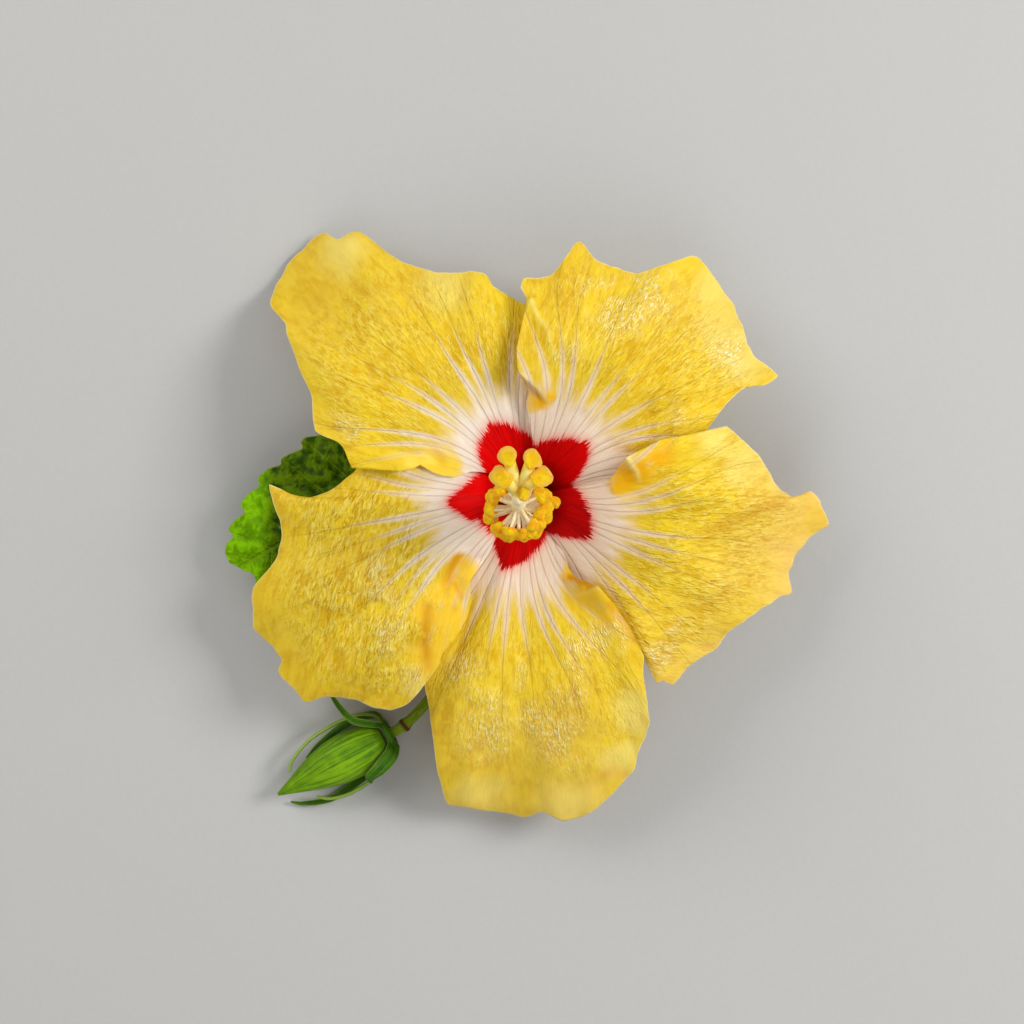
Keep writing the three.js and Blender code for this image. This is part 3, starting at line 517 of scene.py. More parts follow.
def kept(piece, name):
    """The number of this name that each vertex keeps."""
    return np.array([vertex.value for vertex in piece.data.attributes[name].data])


def sheet_grid(name, across, along):
    """A flat grid, and each vertex's place on it from -1 to 1 across and 0 to 1 along."""
    deselect()
    bpy.ops.mesh.primitive_grid_add(x_subdivisions=across, y_subdivisions=along, size=2,
                                    location=(0, 0, 0))
    piece = bpy.context.object
    piece.name = piece.data.name = name
    x, y, _ = points_of(piece).T
    return piece, x, (y + 1) / 2


def ball(segments, rings):
    """A unit ball to be shaped, and its points."""
    deselect()
    bpy.ops.mesh.primitive_uv_sphere_add(segments=segments, ring_count=rings, radius=1,
                                         location=(0, 0, 0))
    return bpy.context.object, points_of(bpy.context.object)


def apply(piece, kind, **settings):
    """Adds one modifier and applies it."""
    activate(piece)
    modifier = piece.modifiers.new(kind.title(), kind)
    for key, value in settings.items():
        setattr(modifier, key, value)
    bpy.ops.object.modifier_apply(modifier=modifier.name)


def thicken(piece, wall, **settings):
    """Gives a sheet a wall in mm, half to each side."""
    apply(piece, "SOLIDIFY", thickness=wall * MM, offset=0.0, use_even_offset=False, **settings)


def outward(piece, capped):
    """Merges doubled seams, caps open ends if asked, and turns all faces outwards."""
    activate(piece)
    bpy.ops.object.mode_set(mode="EDIT")
    bpy.ops.mesh.select_all(action="SELECT")
    bpy.ops.mesh.remove_doubles(threshold=MERGE_DISTANCE)
    if capped:
        bpy.ops.mesh.select_all(action="DESELECT")
        bpy.ops.mesh.select_non_manifold()
        bpy.ops.mesh.edge_face_add()
        bpy.ops.mesh.select_all(action="SELECT")
    bpy.ops.mesh.normals_make_consistent(inside=False)
    bpy.ops.object.mode_set(mode="OBJECT")


def rounded(piece):
    activate(piece)
    bpy.ops.object.shade_smooth()


def join(pieces, name):
    deselect()
    for piece in pieces:
        piece.select_set(True)
    bpy.context.view_layer.objects.active = pieces[0]
    bpy.ops.object.join()
    whole = bpy.context.object
    whole.name = whole.data.name = name
    return whole


def bar(name, points, radius_at, sides=20, steps=60, shape=None, floor=None):
    """A round bar along a smooth line: a grid rolled up ring by ring.

    radius_at gives the radius from the distance along, shape a factor from the bearing and the
    distance, and floor the height that nothing goes below.
    """
    centre, length = spline(points, steps + 1)
    ahead = headings(centre)
    piece, s, t = sheet_grid(name, sides, steps)
    angle = (s + 1) * math.pi
    row = np.rint(t * steps).astype(int)
    up = np.array((1.0, 0, 0) if abs(ahead[0, 2]) > 0.9 else (0, 0, 1.0))
    rings = []
    for k in range(steps + 1):
        side = np.cross(up, ahead[k])
        side /= np.linalg.norm(side)
        up = np.cross(ahead[k], side)
        rings.append((side, up))
    side, up = np.array(rings)[row].transpose(1, 0, 2)
    radius = radius_at(t * length)
    if shape is not None:
        radius = radius * shape(angle, t * length)
    out = side * np.cos(angle)[:, None] + up * np.sin(angle)[:, None]
    points = centre[row] + out * radius[:, None]
    if floor is not None:
        points[:, 2] = np.maximum(points[:, 2], floor)
    place(piece, points)
    mark(piece, along=t * length, turn=angle)
    outward(piece, capped=True)
    rounded(piece)
    return piece


def hand_in(piece, nodes, finish):
    """Gives a piece its finish and ties it to the nodes that it stands for."""
    piece.data.materials.clear()
    piece.data.materials.append(finish)
    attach(piece, "root")
    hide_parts(*nodes)


# ---------- finishes ----------
def linear(red, green, blue):
    """A colour picked on screen, from 0 to 255, as linear light."""
    shares = [channel / 255 for channel in (red, green, blue)]
    light = [v / 12.92 if v <= 0.04045 else ((v + 0.055) / 1.055) ** 2.4 for v in shares]
    return (*light, 1.0)


class Wire:
    """A value in a finish's node tree, which works in Python expressions."""

    def __init__(self, finish, socket):
        self.finish = finish
        self.socket = socket

    def __add__(self, other):
        return self.finish.maths("ADD", self, other)

    def __radd__(self, other):
        return self.finish.maths("ADD", other, self)

    def __sub__(self, other):
        return self.finish.maths("SUBTRACT", self, other)

    def __rsub__(self, other):
        return self.finish.maths("SUBTRACT", other, self)

    def __mul__(self, other):
        return self.finish.maths("MULTIPLY", self, other)

    def __rmul__(self, other):
        return self.finish.maths("MULTIPLY", other, self)

    def __truediv__(self, other):
        return self.finish.maths("DIVIDE", self, other)

    def __rtruediv__(self, other):
        return self.finish.maths("DIVIDE", other, self)

    def __abs__(self):
        return self.finish.maths("ABSOLUTE", self)


class Finish:
    """One material, and the ways to add nodes to it."""

    def __init__(self, name):
        self.material = bpy.data.materials.new(name)
        self.material.use_nodes = True
        self.tree = self.material.node_tree
        self.tree.nodes.clear()

    def node(self, kind, settings=None, inputs=None, output=0):
        """Adds a node: its settings first, then the values or links of its sockets."""
        made = self.tree.nodes.new(kind)
        for key, value in (settings or {}).items():
            setattr(made, key, value)
        for key, value in (inputs or {}).items():
            if isinstance(value, Wire):
                self.tree.links.new(value.socket, made.inputs[key])
            else:
                made.inputs[key].default_value = value
        return None if output is None else Wire(self, made.outputs[output])

    def maths(self, operation, *values):
        return self.node("ShaderNodeMath", {"operation": operation}, dict(enumerate(values)))

    def numbers(self, names):
        """The numbers of these names that each vertex keeps."""
        return [self.node("ShaderNodeAttribute", {"attribute_name": name}, output=2)
                for name in names.split()]

    def place(self):
        """Object coordinates in mm."""
        return self.scaled(self.node("ShaderNodeTexCoord", output=3), (1 / MM, 1 / MM, 1 / MM))

    def vector(self, x, y, z=0.0):
        return self.node("ShaderNodeCombineXYZ", None, {0: x, 1: y, 2: z})

    def scaled(self, vector, factors):
        return self.node("ShaderNodeVectorMath", {"operation": "MULTIPLY"}, {0: vector, 1: factors})

    def grain(self, vector, scale, detail=3.0, rough=0.55, twist=0.0):
        return self.node("ShaderNodeTexNoise", None, {
            "Vector": vector, "Scale": scale, "Detail": detail, "Roughness": rough,
            "Distortion": twist})

    def cells(self, vector, scale):
        return self.node("ShaderNodeTexVoronoi", None, {"Vector": vector, "Scale": scale})

    def step(self, value, low, high, start=0.0, stop=1.0):
        """Goes smoothly from start to stop as the value goes from low to high."""
        return self.node("ShaderNodeMapRange", {"interpolation_type": "SMOOTHSTEP"}, {
            "Value": value, "From Min": low, "From Max": high, "To Min": start, "To Max": stop})

    def fade(self, value, low, high):
        """1 below low, 0 above high."""
        return self.step(value, low, high, 1.0, 0.0)

    def tint(self, first, second, share):
        """Mixes two colours, each a wire or a colour picked on screen."""
        first, second = (c if isinstance(c, Wire) else linear(*c) for c in (first, second))
        return self.node("ShaderNodeMix", {"data_type": "RGBA"}, {0: share, 6: first, 7: second},
                         output=2)

    def layers(self, colour, *rows):
        """Lays colours over one another, each with its share."""
        for added, share in rows:
            colour = self.tint(colour, added, share)
        return colour

    def shade(self, colour, factor):
        """Multiplies a colour by a number."""
        return self.node("ShaderNodeVectorMath", {"operation": "SCALE"}, {0: colour, 3: factor})

    def relief(self, height, depth, strength=1.0):
        """A normal from a height, in units of `depth` metres."""
        return self.node("ShaderNodeBump", None,
                         {"Height": height, "Distance": depth, "Strength": strength})

    def shader(self, colour, roughness, normal, specular=0.5):
        return self.node("ShaderNodeBsdfPrincipled", None, {
            "Base Color": colour, "Roughness": roughness, "Normal": normal,
            "Specular IOR Level": specular})

    def done(self, shader):
        self.node("ShaderNodeOutputMaterial", None, {"Surface": shader}, output=None)
        return self.material


def petal_finish(look):
    """Satin petal: red eye with a streaked edge, pale ring, forking veins, crinkled yellow blade."""
    f = Finish("petal_finish")
    along, ground, side, across, length, which = f.numbers("along ground side across length which")
    vein, gap, eye, rim, warm, depth = f.numbers("vein gap eye rim warm depth")
    crest, crease, blush, pale, gloss, halo, rough = f.numbers(
        "crest crease blush pale gloss halo rough")
    flat = f.vector(side, along, which * 37.0)
    creased = f.vector(across, length, which * 37.0)

    def field(plane, finer_across, finer_along, *settings):
        return f.grain(f.scaled(plane, (finer_across, finer_along, 1.0)), 1.0, *settings)

    broad = field(flat, 0.06, 0.05, 3.0)
    patch = field(flat, 0.11, 0.09, 2.0)
    fibre = field(flat, 2.6, 0.22, 2.0, 0.6)
    puff = field(creased, 0.6, 0.22, 2.0, 0.5, 0.6)
    wrinkle = field(creased, 1.9, 0.5, 1.0, 0.5, 0.9)
    fleck = field(creased, 2.4, 0.8, 1.0, 0.5, 0.4)
    peach = f.grain(f.scaled(flat, (0.07, 0.06, 2.0)), 1.0, 2.0)
    ridge = f.fade(abs(puff - 0.5), 0.0, 0.05)
    wrinkled = (f.step(ground, 20, 33) * (1 - warm * 0.75) * f.step(patch, 0.3, 0.58, 0.5, 1.0)
                * f.step(rim, 1, 9, 0.4, 1.0) * rough)
    glint = gloss * f.step(patch, 0.32, 0.5)

    # Distance to the nearest vein and to its forks.
    nearest = f.maths("FLOOR", vein + 0.5)
    chance = f.node("ShaderNodeTexWhiteNoise", {"noise_dimensions": "2D"},
                    {"Vector": f.vector(nearest, which)})
    near = abs(vein - nearest)
    later = ground - chance * 12

    def vein_line(away, width):
        return f.fade(abs(away) * gap, width * 0.3, width)

    trunk = vein_line(near, 0.23) * f.step(ground, 44, 62, 1.0, 0.15)
    fork = vein_line(near - f.step(later, 26, 56, 0.0, 0.30), 0.19) * f.step(later, 28, 36)
    web = (f.maths("MAXIMUM", trunk, fork * f.step(ground, 44, 60, 0.45, 0.15))
           * (1 - warm * 0.85) * f.step(eye, 0.4, -0.4))

    # The deep-to-light yellow follows the bump's puffs as well as random tone: painted shade in their
    # hollows and painted light on their crests.
    yellow = f.layers(
        f.tint(look.yellow_deep, look.yellow_light,
               f.step(broad * 0.4 + puff * 0.45 + fibre * 0.15, 0.30, 0.64)),
        ((224, 192, 30), f.step(ground, 40, 27) * 0.6),
        # light yellow patches; on petal_1's drooping outer limb they are painted light
        ((255, 234, 120), pale * (broad * 0.9 + 0.2)),
        ((255, 210, 116),
         (f.step(peach, 0.32, 0.65) * 0.6 + 0.4) * f.step(ground, 38, 72) * blush * 0.85),
        # lobes and flaps: deeper orange yellow, partly own tint, partly painted shade of turned faces
        (f.tint((255, 224, 72), (248, 180, 0), depth), warm * 0.85),
        # painted shade in the wrinkles' hollows, painted highlights on their crests and ridges
        ((196, 136, 0), f.step(wrinkle, 0.50, 0.30) * 0.6 * wrinkled),
        ((255, 236, 120), f.step(wrinkle, 0.53, 0.70) * 0.65 * wrinkled),
        ((255, 238, 124), ridge * 0.45 * wrinkled),
        # glints painted in as pale flecks within the gloss patches
        ((255, 248, 200), f.step(fleck, 0.54, 0.68) * glint * 0.6),
        # painted shade along the folds and shadow under the flaps, in orange-brown
        ((212, 140, 0), crease * 0.9),
        # painted highlight along the folds' sharp crests
        ((255, 240, 132), crest * 0.6))

    # The pale ring runs out along the veins.
    streak = f.grain(f.vector(vein * 2.6, along * 0.08, which * 9), 1.0, 3.0, 0.7)
    reach = ground - (streak - 0.5) * 13 + warm * 11
    flank = near * gap / f.step(ground, 22, 42, 1.5, 0.6)
    band = f.fade(flank, 0.15, 1.0) * f.fade(ground - chance * 7 - halo * 4, 20, 36)
    ring = f.maths("MAXIMUM", f.fade(reach, 20.5, 28.5), band * 0.8 * (1 - warm))
    # The ring is painted darker and more tan on the petals whose funnel walls face away from the key
    # light.
    cream = f.tint(look.halo_shaded, look.halo,
                   halo * 0.75 + f.step(fibre * 0.5 + streak * 0.5, 0.38, 0.66) * 0.25)
    cream = f.tint(cream, (240, 160, 146), f.step(eye, -3.0, -0.2) * 0.45)
    vein_tone = f.tint((168, 118, 8), look.vein, f.step(ground, 38, 26))

    teeth = f.grain(f.vector(vein * 9.0, along * 0.14, which * 5), 1.0, 2.0, 0.75) - 0.5
    edge = eye + teeth * 5.2 + (f.grain(f.scaled(flat, (0.5, 0.5, 1)), 1.0) - 0.5) * 1.2
    blot = f.step(edge, -0.28, 0.28)
    red = f.tint(look.eye_dark, look.eye_bright, f.step(streak * 0.6 + broad * 0.4, 0.35, 0.6))
    # Painted shade: the red darkens towards the flower's middle and on the petals whose walls face away
    # from the key light.
    red = f.shade(red, f.step(ground, 5.5, 12, 0.4, 1.0) * (halo * 0.62 + 0.5))
    colour = f.layers(
        yellow,
        (cream, ring),
        (vein_tone, web * (chance * 0.22 + 0.17)),
        ((246, 96, 98), f.step(edge, -1.2, 0.1) * 0.5),
        (red, blot),
        # a pale line painted along the outer margin as the highlight on the thin rim
        ((255, 242, 180), f.fade(rim, 0.1, 0.45) * f.step(ground, 42, 48) * 0.6))

    height = ((wrinkle * 0.9 + puff * 1.1 + ridge * 0.12) * wrinkled + fleck * glint * 0.7
              + fibre * 0.1 - web * 0.1)
    normal = f.relief(height, 0.0008, look.crinkle)
    satin = f.shader(colour, 0.28, normal, 0.9)
    matt = f.shader(colour, 0.55, normal, 0.06)
    share = (0.11 + glint * 0.8) * (1 - blot) * f.step(ground, 16, 30, 0.3, 1.0)
    return f.done(f.node("ShaderNodeMixShader", None, {0: share, 1: matt, 2: satin}))


def anther_finish():
    """Pollen-covered anthers and cream filaments, told apart by a number kept on each vertex."""
    f = Finish("stamen_finish")
    part, along = f.numbers("part along")
    spot = f.place()
    grains = f.fade(f.cells(spot, 4.5), 0.1, 0.55)
    body = f.tint((255, 168, 0), (255, 212, 0), f.step(f.grain(spot, 0.7, 2.0), 0.35, 0.65))
    body = f.tint(body, (255, 222, 50), grains * 0.4)
    stalk = f.tint((250, 224, 160), (255, 248, 216), f.step(f.grain(spot, 0.5), 0.35, 0.6))
    foot = f.tint((150, 8, 4), stalk, f.step(along, 12, 27))
    normal = f.relief(grains * part, 0.00012)
    return f.done(f.shader(f.tint(foot, body, part), 0.5, normal, 0.2))


def stigma_finish():
    """Velvety stigma pads on smooth yellow branches."""
    f = Finish("stigma_finish")
    part, lip = f.numbers("part lip")
    spot = f.place()
    nap = f.fade(f.cells(spot, 5.5), 0.05, 0.6)
    pad = f.layers(
        f.tint((252, 194, 0), (255, 216, 10), f.step(f.grain(spot, 0.35, 2.0), 0.35, 0.65)),
        # painted peach rim light round the pads
        ((255, 190, 84), lip * 0.75),
        ((255, 214, 90), nap * 0.2))
    arm = f.tint((252, 220, 100), (255, 238, 140), f.step(f.grain(spot, 0.6), 0.4, 0.6))
    normal = f.relief(nap * part, 0.00012)
    return f.done(f.shader(f.tint(arm, pad, part), 0.62, normal, 0.15))


def green_finish(name, deep, light, edge, roughness=0.45):
    """Green sepal, bract and stalk tissue with fine lengthwise lines, pale edges and short down."""
    f = Finish(name)
    along, turn, rim, throat = f.numbers("along turn rim throat")
    spot = f.place()
    mottle = f.grain(spot, 0.35, 4.0)
    rib = f.grain(f.vector(turn * 7.0, along * 0.05, 3.0), 1.0, 3.0, 0.6)
    colour = f.layers(
        f.tint(deep, light, f.step(mottle * 0.25 + rib * 0.75, 0.36, 0.62)),
        (edge, f.fade(rim, 0.04, 0.26) * 0.8),
        # dark red painted shade inside the cup and on its floor, for the deep middle of the flower
        ((120, 4, 2), throat))
    normal = f.relief(rib * 0.8 + f.fade(f.cells(spot, 3.0), 0.0, 0.3) * 0.3, 0.0003)
    satin = f.step(mottle, 0.3, 0.7, roughness - 0.08, roughness + 0.12)
    return f.done(f.shader(colour, satin, normal, 0.2))


def stem_finish(look):
    """Green twig with fine brown lenticels, a corky joint ring and a pale, newly cut end."""
    f = Finish("stem_finish")
    along, turn, woody, ring, cut = f.numbers("along turn woody ring cut")
    lines = f.grain(f.vector(turn * 5.0, along * 0.25, 1.0), 1.0, 4.0, 0.6)
    shade = f.step(lines, 0.35, 0.65)
    dots = f.fade(f.cells(f.place(), 0.55), 0.05, 0.22)
    bark = f.tint((92, 78, 34), (128, 116, 60), shade)
    bark = f.tint(bark, (170, 150, 100), dots * 0.7)
    colour = f.layers(
        f.tint((96, 126, 4), look.stalk, shade),
        (bark, woody),
        ((84, 16, 4), f.maths("MINIMUM", ring * 1.3, 0.95)),
        ((196, 190, 130), cut))
    normal = f.relief(lines * 0.7 + dots * woody, 0.0004)
    return f.done(f.shader(colour, f.step(lines, 0.3, 0.7, 0.42, 0.6), normal, 0.2))


def leaf_finish(look):
    """Mottled, puffed blade with paler veins and a tip painted lighter, out of the petals' shadow."""
    f = Finish("leaf_finish")
    vein, rim, woody, fresh = f.numbers("vein rim woody fresh")
    spot = f.place()
    mottle = f.grain(spot, 0.5, 2.5, 0.55, 0.3)
    broad = f.grain(spot, 0.2, 2.0)
    blotch = f.step(mottle * 0.65 + broad * 0.35, 0.38, 0.62)
    colour = f.layers(
        # blotches follow the bump: partly random tone, partly painted shade and light
        f.tint(look.leaf_deep, look.leaf_light, blotch),
        # painted light on the tip, which lies outside the petals' shadow
        (f.tint((104, 156, 0), (140, 204, 0), blotch), fresh),
        ((140, 176, 20), vein * 0.35),
        ((150, 180, 60), f.fade(rim, 0.06, 0.35) * 0.6),
        ((120, 140, 20), woody))
    normal = f.relief(mottle + broad * 0.6 - vein * 0.3, 0.0008)
    return f.done(f.shader(colour, f.step(mottle, 0.3, 0.7, 0.42, 0.58), normal, 0.05))


def floor_finish(look):
    """Plain pale card."""
    f = Finish("floor_finish")
    tooth = f.grain(f.place(), 0.8, 3.0)
    colour = f.shade(tuple(look.floor_colour), f.step(tooth, 0.3, 0.7, 1.0, 1.02))
    return f.done(f.shader(colour, 0.85, f.relief(tooth, 0.00003)))


# ---------- petals ----------
REACH_TABLE = np.linspace(0, LIMB_START, 400)


def funnel_at(u, droop):
    """Radius and height of the funnel at a distance along it."""
    inner = np.minimum(u, LIMB_START)
    beyond = np.maximum(u - LIMB_START, 0)
    height = curve(FUNNEL, inner, 2) - droop * (beyond / DROOP_REACH) ** DROOP_POWER
    return curve(FUNNEL, inner, 1) + beyond, height


def reach_at(radius):
    """Distance along a petal at which the funnel has this radius."""
    radius = np.asarray(radius, float)
    inner = np.interp(radius, curve(FUNNEL, REACH_TABLE, 1), REACH_TABLE)
    return np.where(radius >= LIMB_RADIUS, LIMB_START + radius - LIMB_RADIUS, inner)


def overlap_lift(u):
    return mix(*OVERLAP_LIFT, smooth(8, 42, u))


def funnel_points(u, bearing, lift, droop):
    """Points of the funnel at a bearing, raised by `lift` square to it."""
    radius, height = funnel_at(u, droop)
    r0, z0 = funnel_at(u - 0.2, droop)
    r1, z1 = funnel_at(u + 0.2, droop)
    run = np.hypot(r1 - r0, z1 - z0)
    r = radius - lift * (z1 - z0) / run
    z = height + lift * (r1 - r0) / run
    return np.column_stack([r * np.cos(bearing), r * np.sin(bearing), z])


def edge_line(rows):
    """A petal's edge as distances along the petal and bearings."""
    rows = np.array(rows, float)
    return reach_at(rows[:, 0]), np.radians(rows[:, 1])


def bearing_about(middle, x, y):
    """Bearings of points, within half a turn of the petal's middle."""
    turn = np.arctan2(y, x) - middle
    return middle + np.arctan2(np.sin(turn), np.cos(turn))


def in_order(bearings, radii):
    """Bearings in rising order: where the edge doubles back, its outer point gives way."""
    least = 0.004
    bearings = bearings.copy()
    for i in range(1, len(bearings)):
        if bearings[i] < bearings[i - 1] + least:
            if radii[i] > radii[i - 1]:
                bearings[i] = bearings[i - 1] + least
            else:
                bearings[i - 1] = bearings[i] - least
    return bearings


def vein_course(petal, number, u, angle, ground):
    """Which vein each vertex is near, as a number that grows by 1 from vein to vein, and their gap."""
    axis, spread = petal["fan"]
    widen = 1 + spread * smooth(14, 50, ground)
    fan = np.degrees(angle - math.radians(axis)) / widen / VEIN_STEP
    fan += 0.16 * ripples(np.column_stack([fan * 0.5, u * 0.05, u * 0 + number]), 1.0)
    sway, rhythm = VEIN_SWAY
    vein = fan + sway * np.sin(rhythm * fan + number)
    crowd = 1 + sway * rhythm * np.cos(rhythm * fan + number)
    return vein, np.maximum(ground, 4) * math.radians(VEIN_STEP) * widen / crowd


def shape_petal(petal, piece, s, t, number):
    """Moves a flat grid onto one petal and keeps the numbers that its finish reads."""
    lower, upper = edge_line(petal["lower"]), edge_line(petal["upper"])
    margin = np.array(petal["margin"], float)
    run = np.concatenate([[0], np.cumsum(np.hypot(*np.diff(margin, axis=0).T))])
    knots = 2 * run / run[-1] - 1
    edge_x, edge_y = outline(knots, margin, s)
    edge = reach_at(np.hypot(edge_x, edge_y))
    nicks = ripples(np.column_stack([s * 40, s * 0, s * 0]), 1.6, number)
    edge = edge + 0.25 * nicks * smooth(1, 0.9, abs(s))
    middle = (np.interp(40, *lower) + np.interp(40, *upper)) / 2
    bearing = bearing_about(middle, edge_x, edge_y)
    guide = np.interp(s, knots, in_order(bearing_about(middle, *margin.T), np.hypot(*margin.T)))

    def even(u):
        return mix(np.interp(u, *lower), np.interp(u, *upper), (s + 1) / 2)

    u = edge * t
    angle = even(u) + (guide - even(edge)) * smooth(0, 1, t) + (bearing - guide) * t**24
    ground = funnel_at(u, petal["droop"])[0]
    x, y = ground * np.cos(angle), ground * np.sin(angle)
    vein, gap = vein_course(petal, number, u, angle, ground)

    # The large forms: overlap, waves of the rim, channel down the middle, side lobe and folds.
    depth, waves, phase = petal["frill"]
    free = (1 - s**6) * smooth(14, 45, u)
    frill = depth * free * (0.25 + 0.75 * t**3) * np.sin(waves * math.pi * s + phase + 2.5 * t)
    channel = -0.9 * free * bell(s, 0.25) * (1 - t * t)
    at, height, reach = petal["curl"]
    curl = height * bell(u - reach_at(at), reach) * smooth(0.62, 1, s)
    folded, crest = fold_relief(petal["folds"], x, y)
    lift = overlap_lift(u) * np.sin(math.pi * s / 2) + frill + channel + curl

    # The fine ones: wrinkles, ruffle of the rim and grooves along the veins.
    lean, share, start = petal["lean"]
    turned = smooth(start, start + 0.8, s)
    share = share * turned
    course = middle + math.radians(lean)
    across = mix(45 * (angle - middle), y * math.cos(course) - x * math.sin(course), share)
    length = mix(u, x * math.cos(course) + y * math.sin(course), share)
    flat = np.column_stack([across, length, u * 0 + 20 * number])
    crinkle = 0.40 * ripples(flat * (1, 0.45, 1), 5.0) + 0.2 * ripples(flat * (1, 0.5, 1), 2.1, 5)
    ruffle = 0.6 * ripples(np.column_stack([s * 30, t * 2, s * 0]), 2.6, number + 9)
    groove = -0.09 * bell((((vein + 0.5) % 1) - 0.5) * gap, 0.7) * smooth(70, 30, u)
    calm = smooth(16, 36, u) * (0.35 + 0.65 * smooth(1, 0.75, abs(s)))
    lift = lift + (crinkle + ruffle * smooth(0.86, 1, t) + groove) * calm + folded

    points = funnel_points(u, angle, lift, petal["droop"])
    above = points[:, 2] - PETAL_THICKNESS / 2
    points[:, 2] += (np.sqrt(above**2 + 3) - above) / 2  # bends clear of the floor
    place(piece, points)
    width = np.maximum(ground * (np.interp(u, *upper) - np.interp(u, *lower)), 4.0)
    rim = np.minimum(edge - u, (1 - abs(s)) * width / 2)
    warm, deep = petal["warm"]
    eye = np.array(petal["eye"], float)
    # Some of these numbers carry painted light and shade: highlights on fold crests, shade along folds
    # and under flaps, partly shaded lobes.
    mark(piece, along=u, ground=ground, side=ground * (angle - middle), across=across,
         length=length, which=number, vein=vein, gap=gap, rim=rim, crest=crest,
         eye=np.interp(angle, np.radians(eye[:, 0]), eye[:, 1]) - ground,
         warm=patches(warm, x, y), depth=deep, pale=patches(petal["pale"], x, y),
         gloss=patches(petal["gloss"], x, y), crease=crease_shade(petal["painted_shade_lines"], x, y),
         blush=petal["blush"], halo=petal["halo"],
         rough=petal["rough"] * mix(0.5, 1, turned) * smooth(80, 60, u))
    return smooth(0, 2.5, rim)


def screen_colour(name, description, default):
    """A property for a colour picked on screen."""
    return bpy.props.IntVectorProperty(name=name, description=description + ", 0 to 255", size=3,
                                       default=default)


class PetalLook(bpy.types.PropertyGroup):
    thickness: bpy.props.FloatProperty(
        name="Thickness", description="Thickness of a petal away from its edge",
        default=0.55 * MM, unit="LENGTH", precision=5)
    crinkle: bpy.props.FloatProperty(
        name="Crinkle", description="Strength of the fine wrinkles in the finish", default=0.9)
    # the two yellows also paint light on the bump's crests and shade in its hollows
    yellow_light: screen_colour("Light yellow", "Crests of the blade", (247, 212, 40))
    yellow_deep: screen_colour("Deep yellow", "Creases of the blade", (222, 172, 4))
    halo: screen_colour("Pale ring", "Ring round the eye", (252, 243, 228))
    # the ring's colour where it is painted in shade
    halo_shaded: screen_colour("Dark ring", "Pale ring where it is darkest", (224, 192, 156))
    vein: screen_colour("Veins", "Veins in the pale ring", (168, 112, 106))
    eye_bright: screen_colour("Bright eye", "Eye where it is brightest", (232, 0, 0))
    eye_dark: screen_colour("Dark eye", "Eye where it is darkest", (190, 0, 0))


class GreenLook(bpy.types.PropertyGroup):
    # the two greens also paint light on the bump's crests and shade in its hollows
    leaf_light: screen_colour("Light leaf", "Crests of the leaf", (100, 130, 0))
    leaf_deep: screen_colour("Deep leaf", "Hollows of the leaf", (40, 70, 0))
    stalk: screen_colour("Stalk", "Green of the stalks", (150, 178, 14))


class StageLook(bpy.types.PropertyGroup):
    floor_colour: bpy.props.FloatVectorProperty(
        name="Floor", description="Colour of the floor", subtype="COLOR", size=3,
        default=(0.52, 0.515, 0.50))
    key_power: bpy.props.FloatProperty(
        name="Key light", description="Power of the key light", default=4.45, unit="POWER")
    camera_height: bpy.props.FloatProperty(
        name="Camera height", description="Height of the camera over the floor",
        default=587 * MM, unit="LENGTH")


class HIBISCUS_OT_petals(bpy.types.Operator):
    """Make the five petals"""

    bl_idname = "hibiscus.petals"
    bl_label = "Petals"

    def execute(self, context):
        look = context.scene.petal_look
        finish = petal_finish(look)
        for number, petal in enumerate(PETALS):
            piece, s, t = sheet_grid(petal["name"] + "_blade", *PETAL_GRID)
            body = shape_petal(petal, piece, s, t, number)
            group = piece.vertex_groups.new(name="body")
            for level in range(11):
                chosen = np.flatnonzero(np.rint(body * 10) == level)
                group.add([int(v) for v in chosen], level / 10, "REPLACE")
            thicken(piece, look.thickness / MM, vertex_group="body",
                    thickness_vertex_group=THIN_EDGE)
            piece.vertex_groups.clear()
            rounded(piece)
            hand_in(piece, [petal["name"]], finish)
        return {"FINISHED"}


# ---------- column and pistil ----------
def stamen_parts():
    """The filaments and anthers, set where the solids have theirs."""
    random = repeatable(STAMEN_SEED)
    centre, length = spline(COLUMN_LINE, 400)
    ahead_all = headings(centre)
    golden = math.pi * (3 - math.sqrt(5))
    for k in range(STAMENS):
        share = k / (STAMENS - 1)
        at = int(mix(*STAMEN_SPAN, share**0.8) / length * 399)
        root, ahead = Vector(centre[at]), Vector(ahead_all[at])
        angle = k * golden + 0.3 * next(random)
        side = Vector((math.cos(angle), math.sin(angle), 0))
        side = (side - ahead * side.dot(ahead)).normalized()
        reach = STAMEN_REACH * (0.88 + 0.24 * next(random)) * (1 - 0.2 * share)
        reach += 1.1 * max(0, math.cos(angle - math.radians(225)))
        rise = 0.25 + 0.3 * next(random)
        tip = root + side * (reach + 1) + ahead * (rise * reach)
        bend = root + side * (reach * 0.5 + 1) + ahead * (0.1 * reach)
        yield root + side * 1.1, bend, tip, next(random), next(random)


def anther_model():
    """One two-lobed, bent anther, 2 mm long, made once and copied."""
    model, points = ball(14, 10)
    x, y, z = points.T
    groove = 0.28 * bell(y, 0.28) * smooth(-0.2, 0.6, z)
    points = np.column_stack([x * 1.3, y * (0.85 + 0.12 * np.cos(2 * x)),
                              (z - groove) * 0.8 - 0.45 * x * x])
    reshape(model, points + 0.05 * ripples(points, 0.5)[:, None] * points)
    return model


